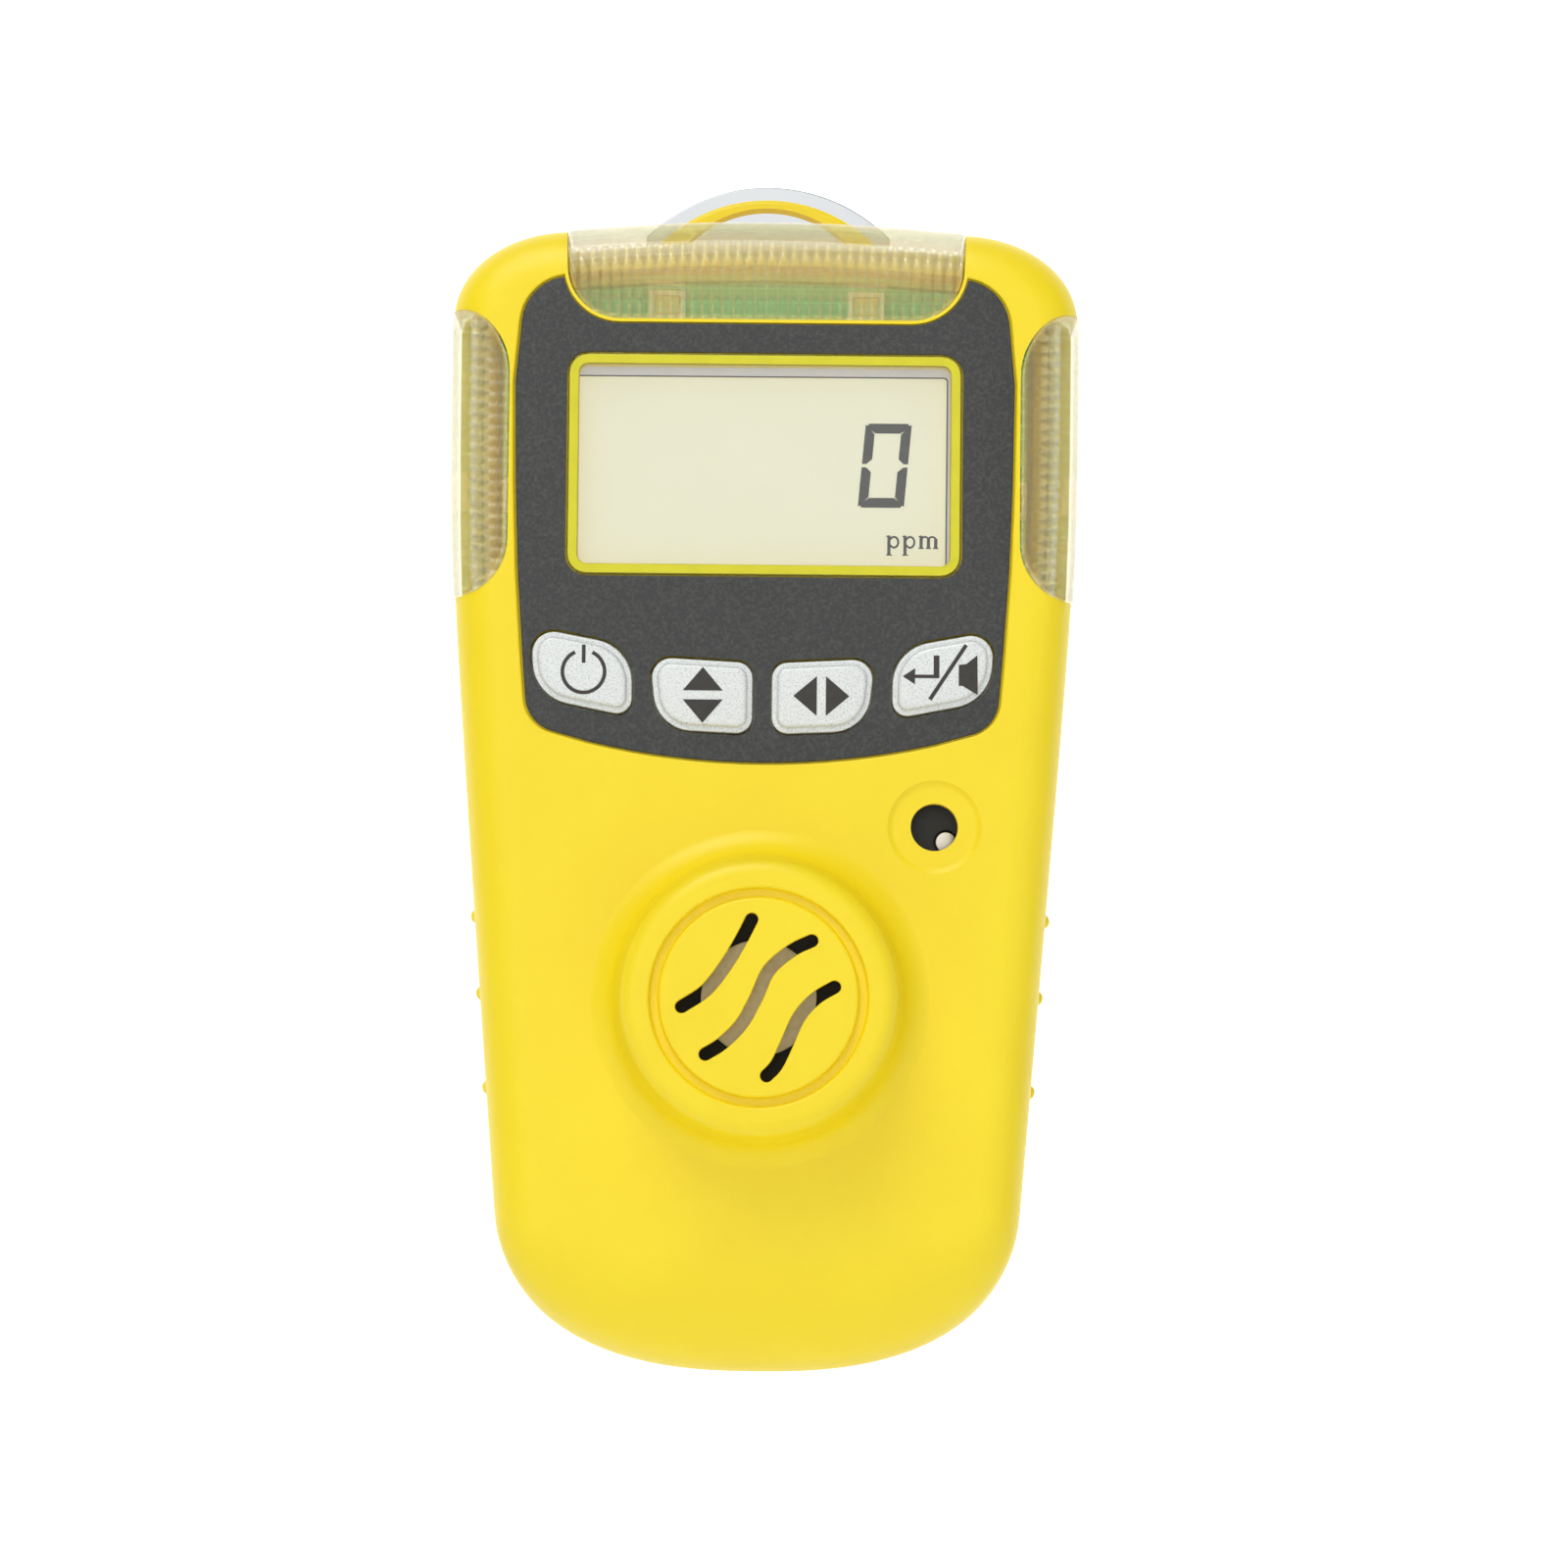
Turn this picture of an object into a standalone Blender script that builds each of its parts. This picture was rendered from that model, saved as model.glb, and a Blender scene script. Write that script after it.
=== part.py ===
"""Portable single-gas detector: two-shell casing, alarm lenses, keypad, sensor, electronics and belt clip.

Sizes are in millimetres and each mesh is turned to metres as it is made. The casing datum has X to the
right seen from the front, Y from front to back with the parting plane at 0, and Z up from the casing's
lowest point. An empty carries that datum and puts the world origin where the belt clip grips.
"""

from math import atan2, cos, pi, radians, sin, sqrt, tan

import bmesh
import bpy
from mathutils import Matrix, Vector

MM = 0.001

# Casing
CASING_HEIGHT = 107.9
CASING_WIDTH = 58.9
FRONT_DEPTH = 14.5
REAR_DEPTH = 13.5
WALL = 2.0
GAP = 0.3  # between pieces that touch
FIT = 0.15  # round a piece set into a window or pocket
SIDE_TAPER = 0.081  # half-width lost per mm going down
TAPER_START = CASING_HEIGHT - 31.9
TAPER_BLEND = 0.66
NOSE_Z = 15.4  # where the rounded bottom meets the sides
NOSE_POWER = 2.5
SHOULDER_X = CASING_WIDTH / 2 - 11.05
SHOULDER_Z = CASING_HEIGHT - 9.3
CROWN_RADIUS = 190.0
FRONT_EDGE = {"side": 4.2, "nose": (11.0, 9.0), "top": 4.6}
REAR_EDGE = {"side": 4.0, "nose": (6.0, 6.0), "top": 7.0}
RIDGE_Z = (42.4, 35.2, 26.4)
RIDGE_RADIUS = 0.75
RIDGE_SUNK = 0.25
RIDGE_START = 0.5  # from the parting plane

# Alarm lenses
LENS_PROUD = 0.2
LENS_WALL = 2.0
SIDE_LENS_INNER = CASING_WIDTH / 2 - 5.45
SIDE_LENS_TOP = CASING_HEIGHT - 8.9
SIDE_LENS_BOTTOM = CASING_HEIGHT - 35.7
TOP_LENS_HALF = 18.2
SIDE_LENS_UPPER_ARC = (5.2, 6.0)  # across, down
SIDE_LENS_LOWER_ARC = (4.8, 5.2)
TOP_LENS_BOTTOM = CASING_HEIGHT - 9.6
TOP_LENS_CORNER = 4.8

# Faceplate and display
POCKET = 0.5
PLATE_THICKNESS = 0.4
PLATE_INSET_TOP = 6.0
PLATE_INSET_BOTTOM = 6.3
PLATE_TOP = CASING_HEIGHT - 5.8
PLATE_BOTTOM = CASING_HEIGHT - 51.25
PLATE_BOTTOM_RADIUS = 71.0
PLATE_LIP = 0.6  # of casing left between the faceplate and the top lens
WINDOW_Z = CASING_HEIGHT - 23.4
WINDOW_WIDTH = 37.0
WINDOW_HEIGHT = 21.05
WINDOW_CORNER = 2.0
WINDOW_SEAT = 1.2  # width of the step that the window rests on
LCD_THICKNESS = 2.8
LCD_OVERLAP = 1.6  # of the LCD past the hole in the casing, on each side

# Keys: corners as (x, z from the key row's line, radius), on the right side; the left is their mirror
KEY_ROW_Z = CASING_HEIGHT - 43.5
INNER_KEY = ((0.9, -5.1, 1.5), (9.75, -4.7, 3.6), (10.45, 2.0, 1.8), (0.9, 1.5, 1.5))
OUTER_KEY = ((12.1, -3.6, 1.4), (21.15, -1.8, 4.0), (21.55, 4.7, 2.0), (12.1, 2.9, 4.0))
KEY_PROUD = 0.8
KEY_CHAMFER = 0.55
KEY_FIT = 0.25
KEY_FLANGE = 0.6
KEY_FLANGE_THICKNESS = 0.5
KEY_STEM_RADIUS = 1.5
BUTTON_RADIUS = 1.75
SWITCH_SIZE = 6.0

# Sensor and its boss
SENSOR_RADIUS = 10.1
SENSOR_HEIGHT = 15.0
SENSOR_PIN_RADIUS = 0.75
SENSOR_Z = 34.7
BOSS_PROUD = 7.5
BOSS_BORE = SENSOR_RADIUS + 0.4
BOSS_RIM = BOSS_BORE + 2.1
GRILLE_THICKNESS = 1.6
SLOT_WIDTH = 1.2
FILTER_RADIUS = 5.3
SLOT_A = ((-0.7, 7.1), (-1.6, 5.3), (-3.0, 2.9), (-4.8, 0.6), (-7.0, -0.9))
SLOT_B = ((4.8, 5.2), (3.0, 4.3), (0.95, 2.5), (-0.2, 0.0), (-1.5, -2.4), (-3.25, -4.2), (-4.8, -5.2))
SLOT_C = ((6.9, 1.0), (5.2, -0.05), (3.7, -1.75), (2.6, -4.2), (1.7, -6.1), (0.8, -7.1))

# Sounder and vibrator
PORT_X, PORT_Z = 16.1, PLATE_BOTTOM - 5.85
PORT_RADIUS = 2.2
DISH_RADIUS = 4.4
DISH_DEPTH = 0.35
BUZZER_RADIUS = 6.0
BUZZER_X, BUZZER_Z = PORT_X + 1.2, PORT_Z - 1.2  # off centre behind the port
MOTOR_X, MOTOR_Y = -19.0, -6.0
MOTOR_RADIUS = 3.0
MOTOR_Z = (41.4, 52.4)
WEIGHT_RADIUS = 2.6

# Board, battery and fasteners
BOARD_THICKNESS = 1.6
BOARD_INSET = 4.1
BATTERY_WIDTH, BATTERY_DEPTH = 34.0, 8.0
BATTERY_Z = (19.4, 61.4)
POST_RADIUS = 2.6
SCREW_RADIUS = 1.0
SCREW_HEAD = 2.1
SCREW_SEAT = 3.2
TOP_POST = (CASING_WIDTH / 2 - 8.55, CASING_HEIGHT - 8.2)
LOW_POST_Z = 14.5
LOW_POST = (CASING_WIDTH / 2 - SIDE_TAPER * (TAPER_START - LOW_POST_Z) - 7.35, LOW_POST_Z)
STANDOFFS = ((0.0, 52.4), (0.0, 13.9))
STANDOFF_RADIUS = 2.2
LED_TOP_X, LED_TOP_Z = 9.5, CASING_HEIGHT - 6.5
LED_SIDE_X, LED_SIDE_Z = CASING_WIDTH / 2 - 5.6, CASING_HEIGHT - 25.0
CONTACT_X, CONTACT_Z = 5.0, 12.0
CONTACT_STEM, CONTACT_HEAD = 0.9, 1.8
RATING_WIDTH, RATING_HEIGHT = 36.0, 20.0
RATING_Z = 31.4
RATING_CORNER = 1.5

# Lanyard loop on the rear shell
LOOP_Y = (7.0, 9.6)
LOOP_OUTER = (14.9, CASING_HEIGHT - 9.1)  # radius, centre height
LOOP_INNER = (10.7, CASING_HEIGHT - 5.8)
LOOP_FLOOR = CASING_HEIGHT - 2.1
LOOP_NOTCH_HALF = 7.5

# Belt clip
CLIP_SHEET = 1.0
CLIP_HALF = 9.0
CLIP_BOTTOM = CASING_HEIGHT - 56.5
CLIP_TOP = CASING_HEIGHT - 12.0
PIVOT_STANDOFF = 2.7  # from the plate's rear face to the pin's axis
PIVOT_Z = CASING_HEIGHT - 16.5
PIN_RADIUS = 1.1
EAR_RADIUS = 4.5
LEVER_HALF = CLIP_HALF - CLIP_SHEET - 2 * GAP
LEVER_OUT = 5.8  # from the plate's rear face to the lever's middle, where a belt goes
TAB_HALF = 12.3
TAB_PEAK = CASING_HEIGHT + 10.0
TAB_RADIUS = 17.0
TAB_FLARE = 2.3
JAW_Z = CASING_HEIGHT - 54.0
WIRE_RADIUS = 0.4
COIL_RADIUS = PIN_RADIUS + WIRE_RADIUS + 0.4
CLIP_SCREW_Z = CASING_HEIGHT - 24.5

# Depths that follow from the sizes above
FRONT_Y = -FRONT_DEPTH
POCKET_Y = FRONT_Y + POCKET
INNER_Y = FRONT_Y + WALL
BOARD_Y = -BOARD_THICKNESS
ON_BOARD_Y = BOARD_Y - GAP
REAR_INNER_Y = REAR_DEPTH - WALL
BOSS_Y = FRONT_Y - BOSS_PROUD
BORE_Y = BOSS_Y + GRILLE_THICKNESS
PLATE_Y = REAR_DEPTH + GAP
CLIP_Y = PLATE_Y + CLIP_SHEET
PIVOT_Y = CLIP_Y + PIVOT_STANDOFF
LEVER_Y = CLIP_Y + LEVER_OUT

for old in list(bpy.data.objects):
    bpy.data.objects.remove(old, do_unlink=True)

PARTS = bpy.data.collections.new("portable_gas_detector")
CUTTERS = bpy.data.collections.new("cutters")
for group in (PARTS, CUTTERS):
    bpy.context.scene.collection.children.link(group)
DATUM = bpy.data.objects.new("casing_datum", None)
DATUM.location = (0.0, -CLIP_Y * MM, -JAW_Z * MM)
PARTS.objects.link(DATUM)


# ---------------------------------------------------------------- finishes


def linear(channel):
    return channel / 12.92 if channel <= 0.04045 else ((channel + 0.055) / 1.055) ** 2.4


def finish(name, colour, roughness, metallic=0.0, clear=0.0):
    """A Principled material from an sRGB hex colour."""
    made = bpy.data.materials.new(name)
    made.use_nodes = True
    shader = made.node_tree.nodes["Principled BSDF"]
    rgb = [linear(int(colour[i : i + 2], 16) / 255) for i in (0, 2, 4)]
    shader.inputs["Base Color"].default_value = (*rgb, 1.0)
    shader.inputs["Roughness"].default_value = roughness
    shader.inputs["Metallic"].default_value = metallic
    shader.inputs["Transmission Weight"].default_value = clear
    made.diffuse_color = (*rgb, 1.0 - 0.6 * clear)
    return made


FINISH = {
    "casing": finish("yellow_abs", "F7E02A", 0.45),
    "lens": finish("clear_polycarbonate", "EDE9C8", 0.15, clear=0.9),
    "faceplate": finish("dark_overlay_film", "474946", 0.6),
    "window": finish("clear_acrylic", "F0F2EC", 0.08, clear=0.9),
    "key": finish("silver_key_rubber", "E4E7E5", 0.5),
    "lcd": finish("lcd_glass", "E6E4CE", 0.3),
    "white": finish("white_nylon", "EDEDE8", 0.5),
    "board": finish("green_solder_mask", "1F7A4C", 0.35),
    "black": finish("black_plastic", "1B1B1C", 0.5),
    "rubber": finish("black_rubber", "262626", 0.85),
    "seal": finish("amber_silicone", "D9A441", 0.6),
    "led": finish("led_package", "F3EDC2", 0.3),
    "steel": finish("nickel_steel", "B9BCBE", 0.3, metallic=1.0),
    "chrome": finish("chromed_steel", "D9DCDD", 0.12, metallic=1.0),
    "brass": finish("gold_plate", "D4AF4A", 0.25, metallic=1.0),
    "filter": finish("ptfe_filter", "CDBD92", 0.8),
    "cell": finish("cell_housing", "D8D9D6", 0.5),
    "battery": finish("battery_wrap", "2F5D8C", 0.4),
    "foam": finish("grey_foam", "6E7072", 0.95),
    "paper": finish("label_paper", "DADCDA", 0.5),
    "red_wire": finish("red_wire", "B3261E", 0.5),
    "black_wire": finish("black_wire", "1E1E1E", 0.5),
}


# ---------------------------------------------------------------- shapes


def make(name, bm, look=None, origin=(0, 0, 0)):
    """The bmesh, in millimetres in the casing datum, as an object whose own origin is `origin`.
    With no look it is a cutter."""
    bmesh.ops.recalc_face_normals(bm, faces=bm.faces)
    bmesh.ops.translate(bm, verts=bm.verts, vec=-Vector(origin))
    bmesh.ops.scale(bm, vec=(MM, MM, MM), verts=bm.verts)
    mesh = bpy.data.meshes.new(name)
    bm.to_mesh(mesh)
    bm.free()
    mesh.shade_smooth()
    mesh.set_sharp_from_angle(angle=radians(35))
    return place(name, mesh, look, origin)


def place(name, data, look, origin):
    obj = bpy.data.objects.new(name, data)
    obj.parent = DATUM
    obj.location = [c * MM for c in origin]
    if look:
        data.materials.append(FINISH[look])
        PARTS.objects.link(obj)
    else:
        obj.hide_render = True
        obj.display_type = "WIRE"
        CUTTERS.objects.link(obj)
    return obj


def combine(body, operation, *tools):
    for tool in tools:
        step = body.modifiers.new(tool.name, "BOOLEAN")
        step.operation = operation
        step.solver = "EXACT"
        step.object = tool
    return body


def cut(body, *tools):
    return combine(body, "DIFFERENCE", *tools)


def join(body, *tools):
    return combine(body, "UNION", *tools)


def keep(body, *tools):
    return combine(body, "INTERSECT", *tools)


def block(x, y, z, round_off=0.0):
    """A box between these pairs of values, its edges rounded by `round_off`."""
    bm = bmesh.new()
    bmesh.ops.create_cube(bm, size=1.0)
    sizes = [b - a for a, b in (x, y, z)]
    middle = [(a + b) / 2 for a, b in (x, y, z)]
    bmesh.ops.scale(bm, vec=sizes, verts=bm.verts)
    bmesh.ops.translate(bm, vec=middle, verts=bm.verts)
    if round_off:
        bmesh.ops.bevel(bm, geom=bm.edges[:], offset=round_off, segments=1, affect="EDGES")
    return bm


def centred(middle, size):
    return (middle - size / 2, middle + size / 2)


def rod(axis, at, radius, low, high, steps=16):
    """A cylinder along an axis, through `at` (the two other coordinates, in X, Y, Z order)."""
    bm = bmesh.new()
    bmesh.ops.create_cone(
        bm, cap_ends=True, segments=steps, radius1=radius, radius2=radius, depth=high - low
    )
    middle = (low + high) / 2
    turn, move = {
        "X": (Matrix.Rotation(pi / 2, 3, "Y"), (middle, *at)),
        "Y": (Matrix.Rotation(pi / 2, 3, "X"), (at[0], middle, at[1])),
        "Z": (Matrix.Identity(3), (*at, middle)),
    }[axis]
    bmesh.ops.rotate(bm, matrix=turn, verts=bm.verts)
    bmesh.ops.translate(bm, vec=move, verts=bm.verts)
    return bm


def prism(axis, outline, low, high):
    """A flat outline of (a, b) points drawn out along an axis: (x, z) along Y, (y, z) along X."""
    put = {
        "X": lambda a, b: (low, a, b),
        "Y": lambda a, b: (a, low, b),
        "Z": lambda a, b: (a, b, low),
    }[axis]
    bm = bmesh.new()
    face = bm.faces.new([bm.verts.new(put(a, b)) for a, b in outline])
    grown = bmesh.ops.extrude_face_region(bm, geom=[face])["geom"]
    along = Vector([high - low if axis == name else 0.0 for name in "XYZ"])
    bmesh.ops.translate(bm, vec=along, verts=[v for v in grown if isinstance(v, bmesh.types.BMVert)])
    return bm


def turned(name, profile, at, look=None, steps=32):
    """A round piece about a line along Y through `at` (x, z). Its (radius, y) profile runs from the front
    round the outer side to the back. One that starts and ends off the axis is closed into a ring."""
    bm = bmesh.new()
    verts = [bm.verts.new((r * MM, 0.0, -y * MM)) for r, y in profile]
    for a, b in zip(verts, verts[1:]):
        bm.edges.new((a, b))
    if profile[0][0] > 0:
        bm.edges.new((verts[-1], verts[0]))
    mesh = bpy.data.meshes.new(name)
    bm.to_mesh(mesh)
    bm.free()
    obj = place(name, mesh, look, (at[0], 0.0, at[1]))
    obj.rotation_euler = (pi / 2, 0.0, 0.0)
    spin = obj.modifiers.new("turn", "SCREW")
    spin.steps = steps
    spin.render_steps = steps
    spin.use_merge_vertices = True
    spin.merge_threshold = 1e-6
    spin.use_smooth_shade = True
    return obj


def rounded(corners, steps=3):
    """The closed outline through (a, b, radius) corners, each turned into an arc."""
    outline = []
    for i, (a, b, radius) in enumerate(corners):
        here = Vector((a, b))
        back = (Vector(corners[i - 1][:2]) - here).normalized()
        ahead = (Vector(corners[(i + 1) % len(corners)][:2]) - here).normalized()
        if not radius:
            outline.append((a, b))
            continue
        half = back.angle(ahead) / 2
        centre = here + (back + ahead).normalized() * (radius / sin(half))
        first = here + back * (radius / tan(half)) - centre
        last = here + ahead * (radius / tan(half)) - centre
        start = atan2(first.y, first.x)
        sweep = (atan2(last.y, last.x) - start + pi) % (2 * pi) - pi
        for k in range(steps + 1):
            angle = start + sweep * k / steps
            outline.append((centre.x + radius * cos(angle), centre.y + radius * sin(angle)))
    return outline


def rectangle(half, low, high, radius):
    """An upright rectangle centred on x = 0, with round corners."""
    return rounded([(-half, low, radius), (half, low, radius), (half, high, radius), (-half, high, radius)])


def grown(outline, by):
    """An anticlockwise outline moved outwards by `by`."""
    moved = []
    for i, (a, b) in enumerate(outline):
        before = (Vector((a, b)) - Vector(outline[i - 1])).normalized()
        after = (Vector(outline[(i + 1) % len(outline)]) - Vector((a, b))).normalized()
        normal = Vector((before.y + after.y, -before.x - after.x)).normalized()
        spread = by / max(0.5, normal.dot(Vector((before.y, -before.x))))
        moved.append((a + normal.x * spread, b + normal.y * spread))
    return moved


def mirrored(outline):
    return [(-a, b) for a, b in reversed(outline)]


def strip(path, width, end_steps=0):
    """The outline of an open path given a width, with round ends if end_steps is over 0."""
    half = width / 2
    left, right = [], []
    for i, point in enumerate(path):
        before = Vector(path[max(i - 1, 0)])
        after = Vector(path[min(i + 1, len(path) - 1)])
        along = (after - before).normalized()
        side = Vector((-along.y, along.x)) * half
        left.append(tuple(Vector(point) + side))
        right.append(tuple(Vector(point) - side))

    def cap(at, towards):
        start = atan2(towards.y, towards.x) - pi / 2
        angles = [start + pi * k / (end_steps + 1) for k in range(1, end_steps + 1)]
        return [(at[0] + half * cos(a), at[1] + half * sin(a)) for a in angles]

    last = (Vector(path[-1]) - Vector(path[-2])).normalized()
    first = (Vector(path[0]) - Vector(path[1])).normalized()
    return right + cap(path[-1], last) + left[::-1] + cap(path[0], first)


# ---------------------------------------------------------------- casing form


def half_width(z):
    """Half the casing's width at a height: parallel above, tapering below, with a soft change between."""
    w = SIDE_TAPER * (TAPER_START - z)
    return CASING_WIDTH / 2 - (w + sqrt(w * w + TAPER_BLEND**2)) / 2


def crown(x):
    return CASING_HEIGHT - x * x / (2 * CROWN_RADIUS)


def casing_outline(side=0.0, nose=0.0, top=0.0):
    """The casing's outline with its sides, bottom and top moved in by these amounts."""
    power = 2 / NOSE_POWER
    right = []
    nose_steps, side_steps, shoulder_steps, crown_steps = 7, 5, 5, 2
    for k in range(nose_steps + 1):
        turn = pi / 2 * k / nose_steps
        z = NOSE_Z - (NOSE_Z - nose) * cos(turn) ** power
        right.append(((half_width(z) - side) * sin(turn) ** power, z))
    for k in range(1, side_steps + 1):
        z = NOSE_Z + (SHOULDER_Z - NOSE_Z) * k / side_steps
        right.append((half_width(z) - side, z))
    across = half_width(SHOULDER_Z) - side - SHOULDER_X
    up = crown(SHOULDER_X) - top - SHOULDER_Z
    for k in range(1, shoulder_steps + 1):
        turn = pi / 2 * k / shoulder_steps
        right.append((SHOULDER_X + across * cos(turn), SHOULDER_Z + up * sin(turn)))
    for k in range(1, crown_steps + 1):
        x = SHOULDER_X * (1 - k / crown_steps)
        right.append((x, crown(x) - top))
    return right + [(-x, z) for x, z in right[-2:0:-1]]


def edge_inset(depth, total, radius, reach):
    """How far a rounded edge has come in at a depth."""
    past = max(0.0, depth - (total - reach)) / reach
    return radius * (1 - sqrt(max(0.0, 1 - past * past)))


def shell_rings(sign, total, edge, inset):
    """Rings of the casing's skin from the parting plane to the face, `inset` in from the outer surface."""
    depth = total - inset
    side = edge["side"] - inset
    nose, nose_reach = edge["nose"][0] - inset, edge["nose"][1] - inset
    top = edge["top"] - inset
    steps = 5
    depths = [GAP / 2] + [depth - nose_reach * (1 - sin(pi / 2 * k / steps)) for k in range(steps + 1)]
    rings = []
    for d in depths:
        outline = casing_outline(
            inset + edge_inset(d, depth, side, side),
            inset + edge_inset(d, depth, nose, nose_reach),
            inset + edge_inset(d, depth, top, top),
        )
        rings.append([(x, sign * d, z) for x, z in outline])
    return rings


def loft(rings, closed=False):
    """A solid through rings with equally many points. A closed one joins its last ring to its first."""
    bm = bmesh.new()
    loops = [[bm.verts.new(p) for p in ring] for ring in rings]
    count = len(loops[0])
    pairs = list(zip(loops, loops[1:]))
    if closed:
        pairs.append((loops[-1], loops[0]))
    for a, b in pairs:
        for i in range(count):
            j = (i + 1) % count
            bm.faces.new((a[i], a[j], b[j], b[i]))
    if not closed:
        bm.faces.new(loops[0])
        bm.faces.new(loops[-1])
    return bm


def cup(sign, total, edge, outer=0.0, wall=WALL):
    """Half of the casing as an open cup, its outer surface `outer` in from the casing's."""
    inside = shell_rings(sign, total, edge, outer + wall)
    outside = shell_rings(sign, total, edge, outer)
    return loft(inside[::-1] + outside)


# ---------------------------------------------------------------- outlines on the front


def side_lens_outline():
    """The right lens seen from the front: straight inside, round into both ends, open past the side."""
    inner, beyond = SIDE_LENS_INNER, CASING_WIDTH / 2 + 3
    steps = 5
    turns = [pi / 2 * k / steps for k in range(steps + 1)]
    across, down = SIDE_LENS_UPPER_ARC
    upper = [(inner + across * (1 - sin(t)), SIDE_LENS_TOP - down * (1 - cos(t))) for t in turns]
    across, up = SIDE_LENS_LOWER_ARC
    lower = [(inner + across * (1 - cos(t)), SIDE_LENS_BOTTOM + up * (1 - sin(t))) for t in turns]
    return [(beyond, SIDE_LENS_BOTTOM - 0.5), (beyond, SIDE_LENS_TOP + 1.2), *upper, *lower]


def top_lens_outline():
    above = CASING_HEIGHT + 3
    return rounded(
        (
            (-TOP_LENS_HALF, TOP_LENS_BOTTOM, TOP_LENS_CORNER),
            (TOP_LENS_HALF, TOP_LENS_BOTTOM, TOP_LENS_CORNER),
            (TOP_LENS_HALF + 0.6, above, 0),
            (-TOP_LENS_HALF - 0.6, above, 0),
        ),
        5,
    )


def plate_outline():
    """The faceplate before the top lens takes its bite out of it."""

    def side(z):
        share = (z - PLATE_BOTTOM) / (PLATE_TOP - PLATE_BOTTOM)
        return half_width(z) - PLATE_INSET_BOTTOM - (PLATE_INSET_TOP - PLATE_INSET_BOTTOM) * share

    def sag(x):
        return PLATE_BOTTOM + PLATE_BOTTOM_RADIUS - sqrt(PLATE_BOTTOM_RADIUS**2 - x * x)

    corner_z = sag(side(PLATE_BOTTOM + 4))
    bottom = [(x, sag(x), 0) for x in (0.0, 6.0, 12.0)]
    sides = [(side(z), z, 0) for z in (PLATE_BOTTOM + 14, PLATE_BOTTOM + 24, PLATE_TOP - 12)]
    right = [*bottom, (side(corner_z), corner_z, 3.4), *sides, (side(PLATE_TOP), PLATE_TOP, 4.6)]
    left = [(-x, z, r) for x, z, r in right[:0:-1]]
    return rounded(right + left, 4)


def key_outline(corners, side):
    outline = rounded([(x, KEY_ROW_Z + z, r) for x, z, r in corners])
    return outline if side > 0 else mirrored(outline)


def window_outline(inset=0.0):
    half, tall = WINDOW_WIDTH / 2 - inset, WINDOW_HEIGHT / 2 - inset
    return rectangle(half, WINDOW_Z - tall, WINDOW_Z + tall, max(0.4, WINDOW_CORNER - inset))


def rating_outline(inset=0.0):
    half, tall = RATING_WIDTH / 2 - inset, RATING_HEIGHT / 2 - inset
    return rectangle(half, RATING_Z - tall, RATING_Z + tall, RATING_CORNER - inset)


KEYS = {
    "key_power": (OUTER_KEY, -1),
    "key_up_down": (INNER_KEY, -1),
    "key_left_right": (INNER_KEY, 1),
    "key_enter_mute": (OUTER_KEY, 1),
}


def key_centre(name):
    corners, side = KEYS[name]
    x = sum(c[0] for c in corners) / len(corners)
    z = sum(c[1] for c in corners) / len(corners)
    return side * x, KEY_ROW_Z + z


# ---------------------------------------------------------------- casing pieces


def ridges(name, y_deep):
    """Rounded grip ridges on both side walls of one shell, stopping short of its rim."""
    low, high = sorted((y_deep, RIDGE_START if y_deep > 0 else -RIDGE_START))
    made = []
    for i, z in enumerate(RIDGE_Z):
        for side in (-1, 1):
            x = side * (half_width(z) - RIDGE_SUNK)
            made.append(make(f"{name}_ridge_{i}_{side}", rod("Y", (x, z), RIDGE_RADIUS, low, high, 8)))
    return made


def posts(name, low, high):
    made = []
    for i, (x, z) in enumerate((TOP_POST, LOW_POST)):
        for side in (-1, 1):
            made.append(make(f"{name}_post_{i}_{side}", rod("Y", (side * x, z), POST_RADIUS, low, high, 12)))
    return made


def post_holes(name, radius, low, high):
    made = []
    for i, (x, z) in enumerate((TOP_POST, LOW_POST)):
        for side in (-1, 1):
            made.append(make(f"{name}_{i}_{side}", rod("Y", (side * x, z), radius, low, high, 12)))
    return made


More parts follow.
